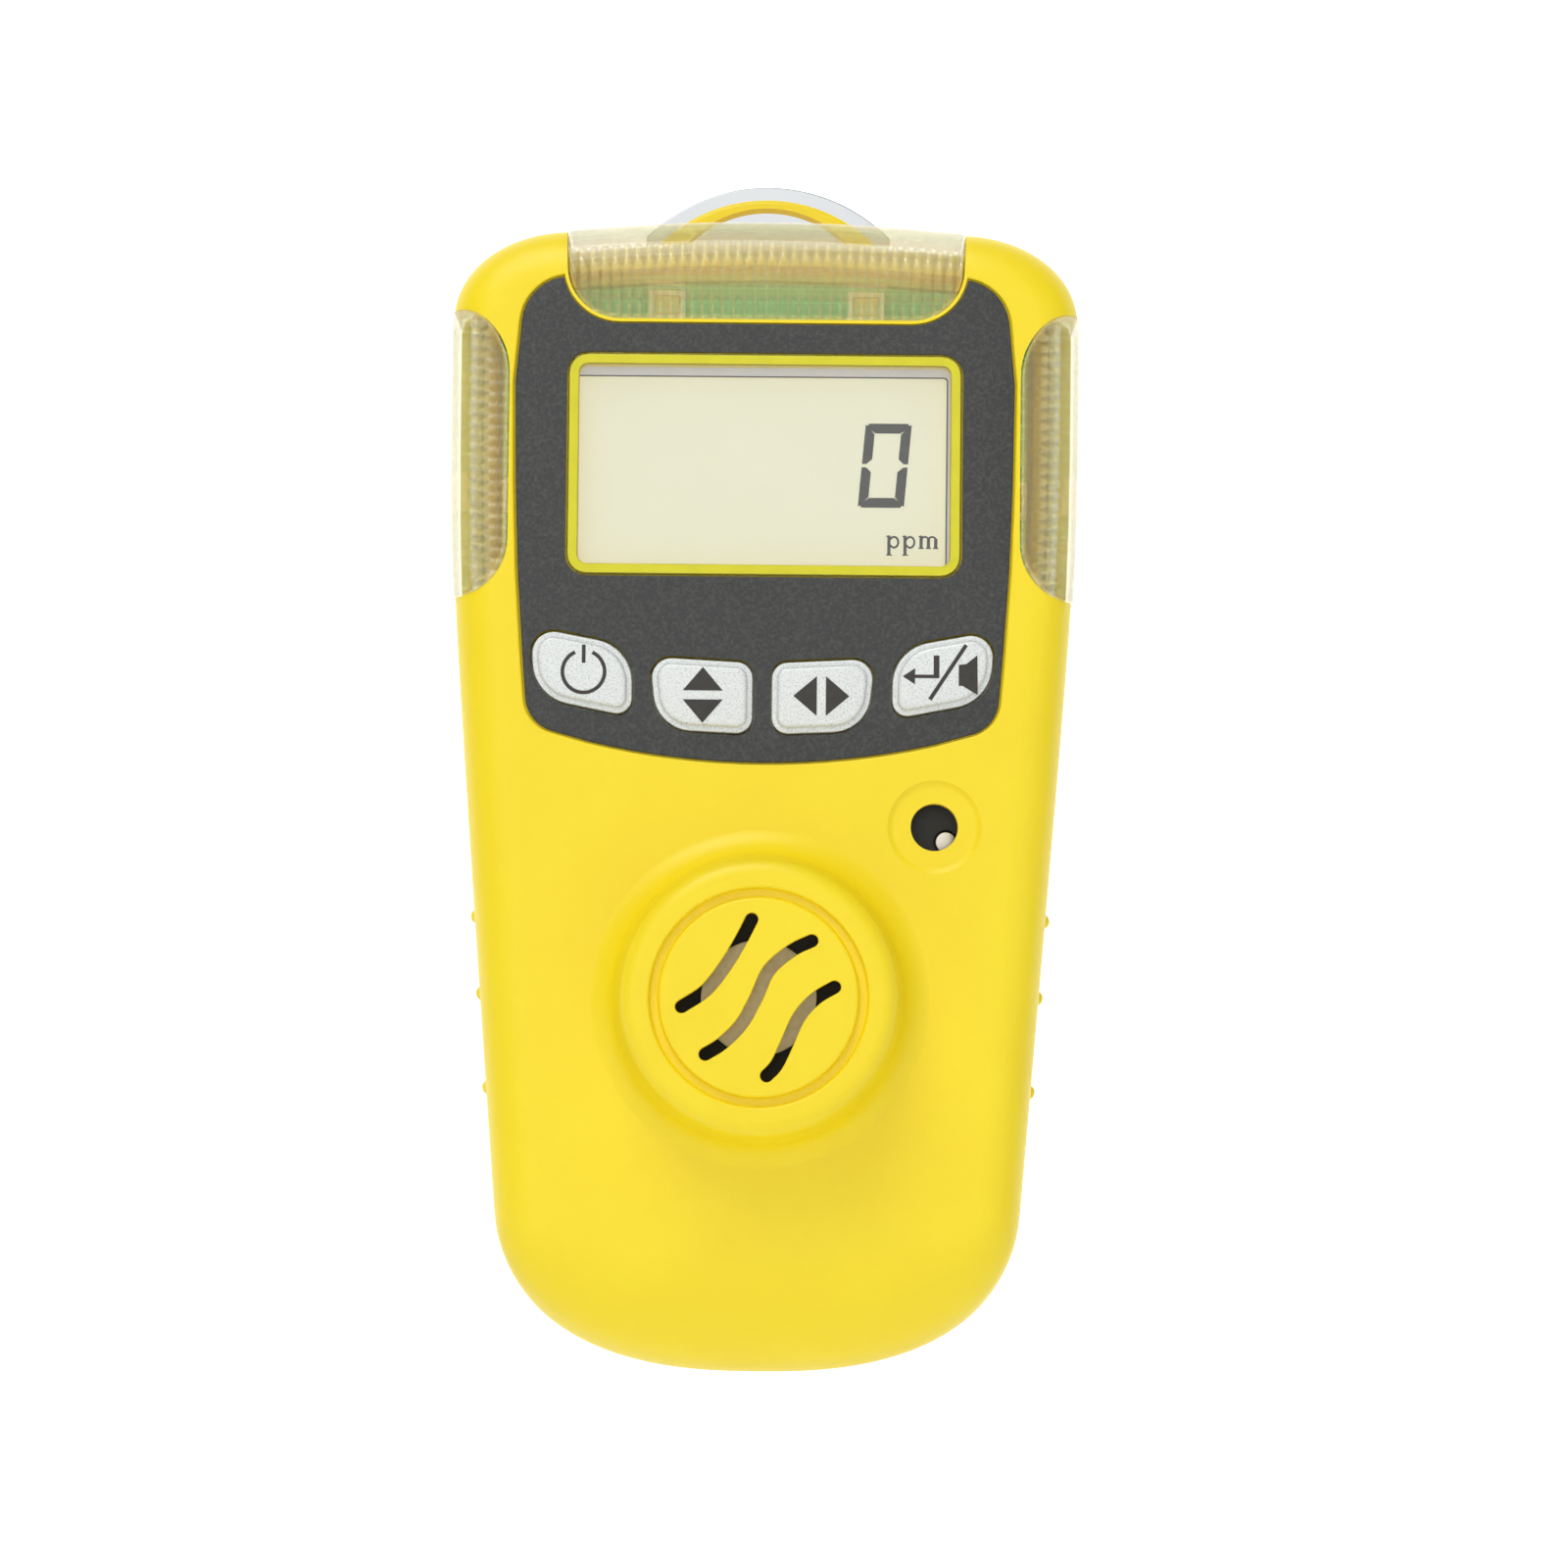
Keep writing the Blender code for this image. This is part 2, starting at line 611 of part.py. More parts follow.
def front_shell():
    shell = make("front_shell", cup(-1, FRONT_DEPTH, FRONT_EDGE), "casing")
    bore, rim = BOSS_BORE, BOSS_RIM
    boss = turned(
        "sensor_boss",
        (
            (0.0, BOSS_Y),
            (bore - 1.4, BOSS_Y),
            (bore - 1.3, BOSS_Y + 0.8),
            (bore - 0.6, BOSS_Y + 0.8),
            (bore - 0.4, BOSS_Y + 0.15),
            (bore, BOSS_Y),
            (rim - 1.0, BOSS_Y + 0.1),
            (rim - 0.3, BOSS_Y + 0.55),
            (rim, BOSS_Y + 1.4),
            (rim + 0.5, BOSS_Y + 3.4),
            (rim + 1.2, FRONT_Y - 2.3),
            (rim + 2.2, FRONT_Y - 0.9),
            (rim + 3.6, FRONT_Y - 0.15),
            (rim + 4.9, FRONT_Y + 0.1),
            (rim + 4.9, FRONT_Y + WALL / 2),
            (0.0, FRONT_Y + WALL / 2),
        ),
        (0.0, SENSOR_Z),
        steps=32,
    )
    standoffs = [
        make(f"standoff_{i}", rod("Y", at, STANDOFF_RADIUS, INNER_Y - WALL / 2, ON_BOARD_Y, 10))
        for i, at in enumerate(STANDOFFS)
    ]
    join(shell, boss, *posts("front", INNER_Y - WALL / 2, -GAP / 2), *standoffs)
    join(shell, *ridges("front", FRONT_EDGE["side"] + 1.5 - FRONT_DEPTH))

    plate = grown(plate_outline(), FIT)
    pocket = make("plate_pocket", prism("Y", plate, FRONT_Y - 1, POCKET_Y))
    lip = make("lens_lip", prism("Y", grown(top_lens_outline(), PLATE_LIP - FIT), FRONT_Y - 2, POCKET_Y + 1))
    cut(pocket, lip)
    window = prism("Y", window_outline(WINDOW_SEAT), FRONT_Y - 1, INNER_Y + 1)
    cut(shell, pocket, make("window_hole", window))
    for name, (corners, side) in KEYS.items():
        hole = grown(key_outline(corners, side), KEY_FIT)
        cut(shell, make(f"{name}_hole", prism("Y", hole, FRONT_Y - 1, INNER_Y + 1)))
    top = make("top_lens_hole", prism("Y", grown(top_lens_outline(), FIT), FRONT_Y - 2, 2.0))
    right = make("right_lens_hole", prism("Y", grown(side_lens_outline(), FIT), FRONT_Y - 2, 2.0))
    left = make("left_lens_hole", prism("Y", grown(mirrored(side_lens_outline()), FIT), FRONT_Y - 2, 2.0))
    bore_cut = make("sensor_bore", rod("Y", (0.0, SENSOR_Z), BOSS_BORE, BORE_Y, INNER_Y + 1, 32))
    port = turned(
        "buzzer_port",
        (
            (0.0, FRONT_Y - 1.0),
            (DISH_RADIUS, FRONT_Y - 1.0),
            (DISH_RADIUS, FRONT_Y + 0.05),
            (DISH_RADIUS - 0.8, FRONT_Y + DISH_DEPTH),
            (PORT_RADIUS, FRONT_Y + DISH_DEPTH),
            (PORT_RADIUS, INNER_Y + 1.0),
            (0.0, INNER_Y + 1.0),
        ),
        (PORT_X, PORT_Z),
        steps=20,
    )
    cut(shell, top, right, left, bore_cut, port)
    cut(shell, *post_holes("front_pilot", SCREW_RADIUS + FIT, INNER_Y + 2.5, 1.0))
    for i, at in enumerate(STANDOFFS):
        cut(shell, make(f"standoff_hole_{i}", rod("Y", at, SCREW_RADIUS + FIT, INNER_Y + 2.5, 1.0, 10)))
    for i, path in enumerate((SLOT_A, SLOT_B, SLOT_C)):
        line = [(x, SENSOR_Z + z) for x, z in path]
        slot = prism("Y", strip(line, SLOT_WIDTH, 2), BOSS_Y - 1, BORE_Y + 1)
        cut(shell, make(f"grille_slot_{i}", slot))
    return shell


def rear_shell():
    shell = make("rear_shell", cup(1, REAR_DEPTH, REAR_EDGE), "casing")
    screw_boss = make("clip_boss", rod("Y", (0.0, CLIP_SCREW_Z), 3.2, 7.0, REAR_INNER_Y + WALL / 2))
    pad_half = LOOP_NOTCH_HALF + WALL
    pad = block((-pad_half, pad_half), (3.0, REAR_DEPTH - 4.0), (LOOP_FLOOR - WALL, LOOP_FLOOR + 0.8))
    pad = make("loop_pad", pad)
    radius, centre = LOOP_OUTER
    loop = make("lanyard_loop", rod("Y", (0.0, centre), radius, *LOOP_Y, 40))
    past = (LOOP_Y[0] - 1, LOOP_Y[1] + 1)
    above = block((-radius - 1, radius + 1), past, (LOOP_FLOOR, centre + radius + 1))
    inner = rod("Y", (0.0, LOOP_INNER[1]), LOOP_INNER[0], *past, 40)
    keep(loop, make("loop_above", above))
    cut(loop, make("loop_inner", inner))
    join(shell, screw_boss, pad, *posts("rear", GAP / 2, REAR_INNER_Y + WALL / 2))
    join(shell, *ridges("rear", REAR_DEPTH - REAR_EDGE["side"] - 1.5))
    notch = block(
        (-LOOP_NOTCH_HALF, LOOP_NOTCH_HALF), (4.0, REAR_DEPTH + 1), (LOOP_FLOOR, CASING_HEIGHT + 1)
    )
    cut(shell, make("loop_notch", notch))
    join(shell, loop)
    cut(shell, *post_holes("rear_clearance", SCREW_RADIUS + FIT, -1.0, REAR_DEPTH + 1))
    cut(shell, *post_holes("rear_counterbore", SCREW_HEAD + GAP, REAR_DEPTH - SCREW_SEAT, REAR_DEPTH + 1))
    cut(shell, make("label_recess", prism("Y", rating_outline(), REAR_DEPTH - POCKET, REAR_DEPTH + 1)))
    clip_hole = rod("Y", (0.0, CLIP_SCREW_Z), SCREW_RADIUS + FIT, 8.0, REAR_DEPTH + 1, 16)
    cut(shell, make("clip_screw_hole", clip_hole))
    for side in (-1, 1):
        at = (side * CONTACT_X, CONTACT_Z)
        hole = rod("Y", at, CONTACT_STEM + GAP, REAR_INNER_Y - 1, REAR_DEPTH + 1, 16)
        recess = rod("Y", at, CONTACT_HEAD + GAP, REAR_DEPTH - 0.8, REAR_DEPTH + 1)
        cut(shell, make(f"contact_hole_{side}", hole), make(f"contact_recess_{side}", recess))
    return shell


def case_seal():
    """A square-section cord seal that follows the casing's outline across the parting plane."""
    outer, inner, reach = WALL + GAP, WALL + 1.6, 0.8
    section = ((outer, -reach), (outer, reach), (inner, reach), (inner, -reach))
    rings = [[(x, y, z) for x, z in casing_outline(inset, inset, inset)] for inset, y in section]
    return make("case_seal", loft(rings, closed=True), "seal")


def alarm_lens(name, outline):
    lens = make(name, cup(-1, FRONT_DEPTH, FRONT_EDGE, -LENS_PROUD, LENS_WALL), "lens")
    return keep(lens, make(f"{name}_form", prism("Y", outline, FRONT_Y - 2, 2.0)))


def faceplate():
    back = POCKET_Y - 0.05
    plate = make("faceplate", prism("Y", plate_outline(), back - PLATE_THICKNESS, back), "faceplate")
    bite = prism("Y", grown(top_lens_outline(), PLATE_LIP), FRONT_Y - 1, POCKET_Y + 1)
    hole = prism("Y", window_outline(), FRONT_Y - 1, POCKET_Y + 1)
    cut(plate, make("plate_bite", bite), make("plate_window", hole))
    for name, (corners, side) in KEYS.items():
        gap = grown(key_outline(corners, side), KEY_FIT)
        cut(plate, make(f"{name}_plate_hole", prism("Y", gap, FRONT_Y - 1, POCKET_Y + 1)))
    return plate


def display_window():
    back = POCKET_Y - 0.05
    return make("display_window", prism("Y", window_outline(FIT), back - PLATE_THICKNESS, back), "window")


def key(name):
    """A key cap with a chamfered top, a flange behind the casing wall and a stem to its switch."""
    corners, side = KEYS[name]
    outline = key_outline(corners, side)
    x, z = key_centre(name)
    flange_y = INNER_Y + GAP
    cap = prism("Y", outline, FRONT_Y - KEY_PROUD, flange_y + KEY_FLANGE_THICKNESS)
    front = [e for e in cap.edges if all(abs(v.co.y - (FRONT_Y - KEY_PROUD)) < 1e-6 for v in e.verts)]
    bmesh.ops.bevel(cap, geom=front, offset=KEY_CHAMFER, segments=2, affect="EDGES", profile=0.6)
    body = make(name, cap, "key", (x, flange_y, z))
    flange = prism("Y", grown(outline, KEY_FLANGE), flange_y, flange_y + KEY_FLANGE_THICKNESS)
    stem = rod("Y", (x, z), KEY_STEM_RADIUS, flange_y, flange_y + KEY_FLANGE_THICKNESS + GAP, 16)
    return join(body, make(f"{name}_flange", flange), make(f"{name}_stem", stem))


# ---------------------------------------------------------------- inside


def main_pcb():
    outline = casing_outline(BOARD_INSET, BOARD_INSET, BOARD_INSET)
    board = make("main_pcb", prism("Y", outline, BOARD_Y, 0.0), "board")
    cut(board, *post_holes("board_notch", POST_RADIUS + 0.5, BOARD_Y - 1, 1.0))
    for i, at in enumerate(STANDOFFS):
        cut(board, make(f"board_hole_{i}", rod("Y", at, SCREW_RADIUS + FIT, BOARD_Y - 1, 1.0, 16)))
    return board


def display_stack():
    wide = WINDOW_WIDTH / 2 - WINDOW_SEAT + LCD_OVERLAP
    tall = WINDOW_HEIGHT / 2 - WINDOW_SEAT + LCD_OVERLAP
    front = INNER_Y + GAP
    back = front + LCD_THICKNESS
    x, z = (-wide, wide), (WINDOW_Z - tall, WINDOW_Z + tall)
    make("lcd_panel", block(x, (front, back), z), "lcd")
    holder = block((x[0] - 1, x[1] + 1), (back + GAP, ON_BOARD_Y), (z[0] - 1, z[1] + 1), 0.4)
    make("lcd_holder", holder, "white")


def switch(index, key_name):
    """A tall square tact switch on the board and the round button in it."""
    x, z = key_centre(key_name)
    front = ON_BOARD_Y - 3.5
    button_tip = INNER_Y + 2 * GAP + KEY_FLANGE_THICKNESS + GAP
    body = block(centred(x, SWITCH_SIZE), (front, ON_BOARD_Y), centred(z, SWITCH_SIZE), 0.3)
    body = make(f"tact_switch_{index}", body, "black")
    bore = rod("Y", (x, z), BUTTON_RADIUS + 0.2, front - 1, front + 1.8, 16)
    cut(body, make(f"tact_bore_{index}", bore))
    button = rod("Y", (x, z), BUTTON_RADIUS, button_tip, front + 1.1, 16)
    make(f"tact_button_{index}", button, "white", (x, button_tip, z))


def alarm_led(name, x, z, wide, tall):
    body = block(centred(x, wide), (ON_BOARD_Y - 1.2, ON_BOARD_Y), centred(z, tall), 0.2)
    make(name, body, "led")


def buzzer():
    at = (BUZZER_X, BUZZER_Z)
    front = INNER_Y + 1.4
    turned(
        "buzzer",
        (
            (0.0, front + 0.9),
            (1.1, front + 0.9),
            (1.1, front),
            (BUZZER_RADIUS - 0.4, front),
            (BUZZER_RADIUS, front + 0.4),
            (BUZZER_RADIUS, ON_BOARD_Y),
            (0.0, ON_BOARD_Y),
        ),
        at,
        "black",
        28,
    )
    outer, inner = BUZZER_RADIUS - 0.8, BUZZER_RADIUS - 1.6
    low, high = INNER_Y + 0.2, front - 0.2
    turned("buzzer_gasket", ((outer, low), (outer, high), (inner, high), (inner, low)), at, "foam", 24)


def vibrator():
    """A can motor held along the board's edge, with a half-round weight on its shaft."""
    at = (MOTOR_X, MOTOR_Y)
    low, high = MOTOR_Z
    make("vibration_motor", rod("Z", at, MOTOR_RADIUS, low, high, 24), "steel")
    half = MOTOR_RADIUS + 1.0
    holder = block(centred(MOTOR_X, 2 * half), (MOTOR_Y - half, ON_BOARD_Y), (low + 1.5, high - 1.5), 0.3)
    holder = make("motor_holder", holder, "rubber")
    cut(holder, make("holder_bore", rod("Z", at, MOTOR_RADIUS + 0.2, low - 1, high + 1, 24)))
    steps = 12
    half_disc = [
        (MOTOR_X + WEIGHT_RADIUS * cos(pi * k / steps), MOTOR_Y - WEIGHT_RADIUS * sin(pi * k / steps))
        for k in range(steps + 1)
    ]
    axis = (MOTOR_X, MOTOR_Y, high)
    weight = make("motor_weight", prism("Z", half_disc, high + 1.3, high + 5.3), "steel", axis)
    join(weight, make("weight_shaft", rod("Z", at, 0.5, high + GAP, high + 5.6, 12)))


def sensor():
    at = (0.0, SENSOR_Z)
    gasket_back = BORE_Y + GAP + 1.0
    front = gasket_back + GAP
    back = front + SENSOR_HEIGHT
    pin_end = back + 1.6
    cell = turned(
        "sensor_cell",
        (
            (0.0, front),
            (SENSOR_RADIUS - 0.5, front),
            (SENSOR_RADIUS, front + 0.5),
            (SENSOR_RADIUS, back),
            (0.0, back),
        ),
        at,
        "cell",
        32,
    )
    ring = SENSOR_RADIUS * 0.65
    socket_front = back + GAP
    socket = make("sensor_socket", rod("Y", at, SENSOR_RADIUS - 1.1, socket_front, ON_BOARD_Y, 32), "black")
    for i in range(3):
        turn = pi / 2 + 2 * pi * i / 3
        spot = (ring * cos(turn), SENSOR_Z + ring * sin(turn))
        join(cell, make(f"sensor_pin_{i}", rod("Y", spot, SENSOR_PIN_RADIUS, back - 0.5, pin_end, 12)))
        hole = rod("Y", spot, SENSOR_PIN_RADIUS + GAP, socket_front - 1, ON_BOARD_Y + 1, 12)
        cut(socket, make(f"socket_hole_{i}", hole))
    make("sensor_filter", rod("Y", at, FILTER_RADIUS, gasket_back - 0.4, gasket_back, 32), "filter")
    outer, inner = BOSS_BORE - 0.7, FILTER_RADIUS + 1.2
    loop = ((outer, BORE_Y + GAP), (outer, gasket_back), (inner, gasket_back), (inner, BORE_Y + GAP))
    turned("sensor_gasket", loop, at, "rubber", 32)


def battery():
    front = 2.0
    back = front + BATTERY_DEPTH
    low, high = BATTERY_Z
    half = BATTERY_WIDTH / 2
    make("battery_pack", block((-half, half), (front, back), (low, high), 1.2), "battery")
    pad = block((3 - half, half - 3), (back + 0.2, REAR_INNER_Y - 0.2), (low + 4, high - 4))
    make("battery_pad", pad, "foam")
    plug_low = high + 8.0
    make("battery_connector", block((-4.0, 4.0), (GAP, 4.5), (plug_low, plug_low + 5.0), 0.3), "white")
    leads = (("battery_lead_positive", "red_wire", -1.6), ("battery_lead_negative", "black_wire", 1.6))
    for name, look, x in leads:
        start, end = Vector((x, front + 2.0, high + GAP)), Vector((x, 2.4, plug_low - GAP))
        lead(name, look, start, end)


def lead(name, look, start, end):
    """A short wire bowed back a little between two pieces."""
    curve = bpy.data.curves.new(name, "CURVE")
    curve.dimensions = "3D"
    curve.bevel_depth = 0.6 * MM
    curve.bevel_resolution = 2
    curve.use_fill_caps = True
    steps = 6
    spline = curve.splines.new("POLY")
    spline.points.add(steps)
    for k, point in enumerate(spline.points):
        share = k / steps
        at = start.lerp(end, share) + Vector((0, 1.2 * sin(pi * share), 0))
        point.co = (*((at - start) * MM), 1.0)
    place(name, curve, look, start)


def fastener(name, at, seat, tip, head, head_height, look="steel"):
    """A pan-head screw driven from the back, with a cross-slot in its head."""
    profile = (
        (0.0, tip),
        (SCREW_RADIUS * 0.4, tip),
        (SCREW_RADIUS, tip + 1.0),
        (SCREW_RADIUS, seat),
        (head, seat),
        (head, seat + head_height * 0.6),
        (head * 0.7, seat + head_height),
        (0.0, seat + head_height),
    )
    body = turned(name, profile, at, look, 12)
    top = seat + head_height
    for i, (wide, tall) in enumerate(((head * 1.1, 0.5), (0.5, head * 1.1))):
        bit = block(centred(at[0], wide), (top - 0.6, top + 1), centred(at[1], tall))
        cut(body, make(f"{name}_slot_{i}", bit))


def fasteners():
    seat = REAR_DEPTH - SCREW_SEAT + 0.2
    for row, (x, z) in (("top", TOP_POST), ("low", LOW_POST)):
        for side, word in ((-1, "left"), (1, "right")):
            fastener(f"case_screw_{row}_{word}", (side * x, z), seat, INNER_Y + 3.5, SCREW_HEAD, 1.6)
    for word, at in zip(("upper", "lower"), STANDOFFS):
        fastener(f"board_screw_{word}", at, GAP, INNER_Y + 3.5, 1.9, 1.1)
    fastener("clip_screw", (0.0, CLIP_SCREW_Z), CLIP_Y + 0.2, 9.0, 2.4, 1.1)


def charge_contact(name, side):
    head = REAR_DEPTH - 0.6
    profile = (
        (0.0, REAR_INNER_Y - 0.8),
        (CONTACT_STEM, REAR_INNER_Y - 0.8),
        (CONTACT_STEM, head),
        (CONTACT_HEAD, head),
        (CONTACT_HEAD, REAR_DEPTH - 0.1),
        (CONTACT_HEAD - 0.3, REAR_DEPTH + 0.1),
        (0.0, REAR_DEPTH + 0.1),
    )
    turned(name, profile, (side * CONTACT_X, CONTACT_Z), "brass", 16)


def rating_label():
    back = REAR_DEPTH - 0.1
    front = REAR_DEPTH - POCKET + 0.05
    make("rating_label", prism("Y", rating_outline(FIT), front, back), "paper")


# ---------------------------------------------------------------- belt clip


def ear(name, x, y_low):
    """A cheek with a round end, drawn out along X, that carries the pin."""
    outline = [
        (PIVOT_Y + 2.0 * sin(pi * k / 8), PIVOT_Z + EAR_RADIUS * cos(pi * k / 8)) for k in range(9)
    ]
    outline += [(y_low, PIVOT_Z - EAR_RADIUS), (y_low, PIVOT_Z + EAR_RADIUS)]
    return make(name, prism("X", outline, *x))


def clip_plate():
    outline = rectangle(CLIP_HALF, CLIP_BOTTOM, CLIP_TOP, 2.5)
    plate = make("clip_plate", prism("Y", outline, PLATE_Y, CLIP_Y), "chrome")
    for side in (-1, 1):
        x = sorted((side * CLIP_HALF, side * (CLIP_HALF - CLIP_SHEET)))
        join(plate, ear(f"plate_ear_{side}", x, PLATE_Y + CLIP_SHEET / 2))
    hole = rod("Y", (0.0, CLIP_SCREW_Z), SCREW_RADIUS + GAP, PLATE_Y - 1, CLIP_Y + 1, 16)
    pin_hole = rod("X", (PIVOT_Y, PIVOT_Z), PIN_RADIUS + FIT, -CLIP_HALF - 1, CLIP_HALF + 1)
    return cut(plate, make("plate_screw_hole", hole), make("plate_pin_hole", pin_hole))


def clip_lever():
    """One bent sheet: the jaw below, the flat behind the belt, the cheeks and the flared thumb tab on top."""
    jaw_y = CLIP_Y + GAP + CLIP_SHEET / 2
    path = [
        (jaw_y, JAW_Z),
        (jaw_y + 2.1, JAW_Z + 1.9),
        (LEVER_Y - 1.6, JAW_Z + 4.4),
        (LEVER_Y - 0.4, JAW_Z + 7.6),
        (LEVER_Y, JAW_Z + 12.0),
        (LEVER_Y, PIVOT_Z + 5.0),
        (LEVER_Y + 0.35 * TAB_FLARE, PIVOT_Z + 14.0),
        (LEVER_Y + TAB_FLARE, TAB_PEAK + 1.5),
    ]
    origin = (0.0, PIVOT_Y, PIVOT_Z)
    sheet = prism("X", strip(path, CLIP_SHEET), -TAB_HALF - 1, TAB_HALF + 1)
    lever = make("clip_lever", sheet, "chrome", origin)
    centre = TAB_PEAK - TAB_RADIUS
    edge = sqrt(TAB_RADIUS**2 - TAB_HALF**2)
    reach = atan2(edge, TAB_HALF)
    steps = 16
    turns = [reach + (pi - 2 * reach) * k / steps for k in range(steps + 1)]
    arc = [(TAB_RADIUS * cos(t), centre + TAB_RADIUS * sin(t)) for t in turns]
    neck = PIVOT_Z + EAR_RADIUS + 3.0
    shoulder = [(TAB_HALF - 1.2, neck + 4.0), (TAB_HALF, neck + 6.5)]
    right = [(LEVER_HALF, JAW_Z - 3), (LEVER_HALF, neck), *shoulder]
    outline = right + arc + [(-x, z) for x, z in reversed(right)]
    keep(lever, make("lever_form", prism("Y", outline, CLIP_Y - 2, LEVER_Y + TAB_FLARE + 4)))
    for side in (-1, 1):
        x = sorted((side * LEVER_HALF, side * (LEVER_HALF - CLIP_SHEET)))
        tall = EAR_RADIUS - 0.5
        turns = [pi * k / 8 for k in range(9)]
        cheek = [(PIVOT_Y - 1.9 * sin(t), PIVOT_Z + tall * cos(t)) for t in turns]
        cheek += [(LEVER_Y, PIVOT_Z - tall), (LEVER_Y, PIVOT_Z + tall)]
        join(lever, make(f"lever_cheek_{side}", prism("X", cheek, *x)))
    pin_hole = rod("X", (PIVOT_Y, PIVOT_Z), PIN_RADIUS + FIT, -CLIP_HALF - 1, CLIP_HALF + 1)
    return cut(lever, make("lever_pin_hole", pin_hole))


def clip_pin():
    reach = CLIP_HALF + 0.4
    pin = rod("X", (PIVOT_Y, PIVOT_Z), PIN_RADIUS, -reach, reach)
    make("clip_pin", pin, "steel", (0.0, PIVOT_Y, PIVOT_Z))


def clip_spring():
    """A torsion coil round the pin, one arm on the plate and one under the lever."""
    curve = bpy.data.curves.new("clip_spring", "CURVE")
    curve.dimensions = "3D"
    curve.bevel_depth = WIRE_RADIUS * MM
    curve.bevel_resolution = 2
    curve.use_fill_caps = True
    turns, per_turn, pitch = 4.5, 10, 1.25
    arm = 5.0
    count = int(turns * per_turn)
    start = -pitch * turns / 2
    points = [(start, -COIL_RADIUS, -arm)]
    for k in range(count + 1):
        turn = pi - 2 * pi * k / per_turn
        points.append((start + pitch * k / per_turn, COIL_RADIUS * cos(turn), COIL_RADIUS * sin(turn)))
    points.append((start + pitch * turns, COIL_RADIUS, -arm))
    spline = curve.splines.new("POLY")
    spline.points.add(len(points) - 1)
    for point, at in zip(spline.points, points):
        point.co = (*(c * MM for c in at), 1.0)
    place("clip_spring", curve, "steel", (0.0, PIVOT_Y, PIVOT_Z))


def build():
    front_shell()
    rear_shell()
    case_seal()
    alarm_lens("top_alarm_lens", top_lens_outline())
    alarm_lens("right_alarm_lens", side_lens_outline())
    alarm_lens("left_alarm_lens", mirrored(side_lens_outline()))
    faceplate()
    display_window()
    main_pcb()
    display_stack()
    for index, name in enumerate(KEYS, 1):
        key(name)
        switch(index, name)
    alarm_led("alarm_led_top_left", -LED_TOP_X, LED_TOP_Z, 3.5, 2.8)
    alarm_led("alarm_led_top_right", LED_TOP_X, LED_TOP_Z, 3.5, 2.8)
    alarm_led("alarm_led_left", -LED_SIDE_X, LED_SIDE_Z, 2.4, 3.5)
    alarm_led("alarm_led_right", LED_SIDE_X, LED_SIDE_Z, 2.4, 3.5)
    buzzer()
    vibrator()
    sensor()
    battery()
    fasteners()
    charge_contact("charge_contact_left", -1)
    charge_contact("charge_contact_right", 1)
    rating_label()
    clip_plate()
    clip_lever()
    clip_pin()
    clip_spring()


build()
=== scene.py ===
"""Portable gas detector: its finished surfaces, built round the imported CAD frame.

Shapes are worked out in millimetres in the casing datum: X to the right seen from the front, Y from
front to back with the parting plane at 0, Z up from the casing's lowest point. Each mesh is turned to
metres as it is made.
"""

from math import atan2, cos, pi, radians, sin, sqrt, tan

import bmesh
import bpy
from bpy.props import FloatProperty, FloatVectorProperty, IntProperty, PointerProperty
from mathutils import Matrix, Quaternion, Vector


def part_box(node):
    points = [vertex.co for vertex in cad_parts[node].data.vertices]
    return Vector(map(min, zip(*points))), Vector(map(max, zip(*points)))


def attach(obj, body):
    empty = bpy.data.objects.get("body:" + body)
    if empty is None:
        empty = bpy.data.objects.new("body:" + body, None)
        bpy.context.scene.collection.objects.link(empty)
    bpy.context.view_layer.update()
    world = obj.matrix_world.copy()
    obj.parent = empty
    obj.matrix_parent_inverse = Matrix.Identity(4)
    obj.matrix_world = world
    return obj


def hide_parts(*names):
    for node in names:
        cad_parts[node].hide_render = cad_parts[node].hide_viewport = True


bl_info = {
    "name": "Portable gas detector",
    "version": (1, 0, 0),
    "blender": (4, 5, 0),
    "location": "View3D > Sidebar > Gas Detector",
    "description": "Builds a portable gas detector round its packed frame",
    "category": "Object",
}

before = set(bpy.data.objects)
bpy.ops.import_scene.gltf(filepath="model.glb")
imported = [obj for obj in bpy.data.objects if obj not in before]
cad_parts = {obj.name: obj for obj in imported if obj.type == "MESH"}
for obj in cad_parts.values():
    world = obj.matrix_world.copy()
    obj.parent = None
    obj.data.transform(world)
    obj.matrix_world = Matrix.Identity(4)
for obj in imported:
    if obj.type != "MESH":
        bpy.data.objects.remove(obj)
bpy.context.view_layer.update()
MM = 0.001


def low(node):
    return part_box(node)[0]


def high(node):
    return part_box(node)[1]


# ---------------------------------------------------------------- sizes, from the frame where it gives them

DATUM = Vector((0.0, high("main_pcb").y, low("front_shell").z))
LENS_PROUD = 0.2


def x_mm(metres):
    return metres / MM


def y_mm(metres):
    return (metres - DATUM.y) / MM


def z_mm(metres):
    return (metres - DATUM.z) / MM


def centre_of(node):
    """The middle of a node as seen from the front."""
    middle = (low(node) + high(node)) / 2
    return x_mm(middle.x), z_mm(middle.z)


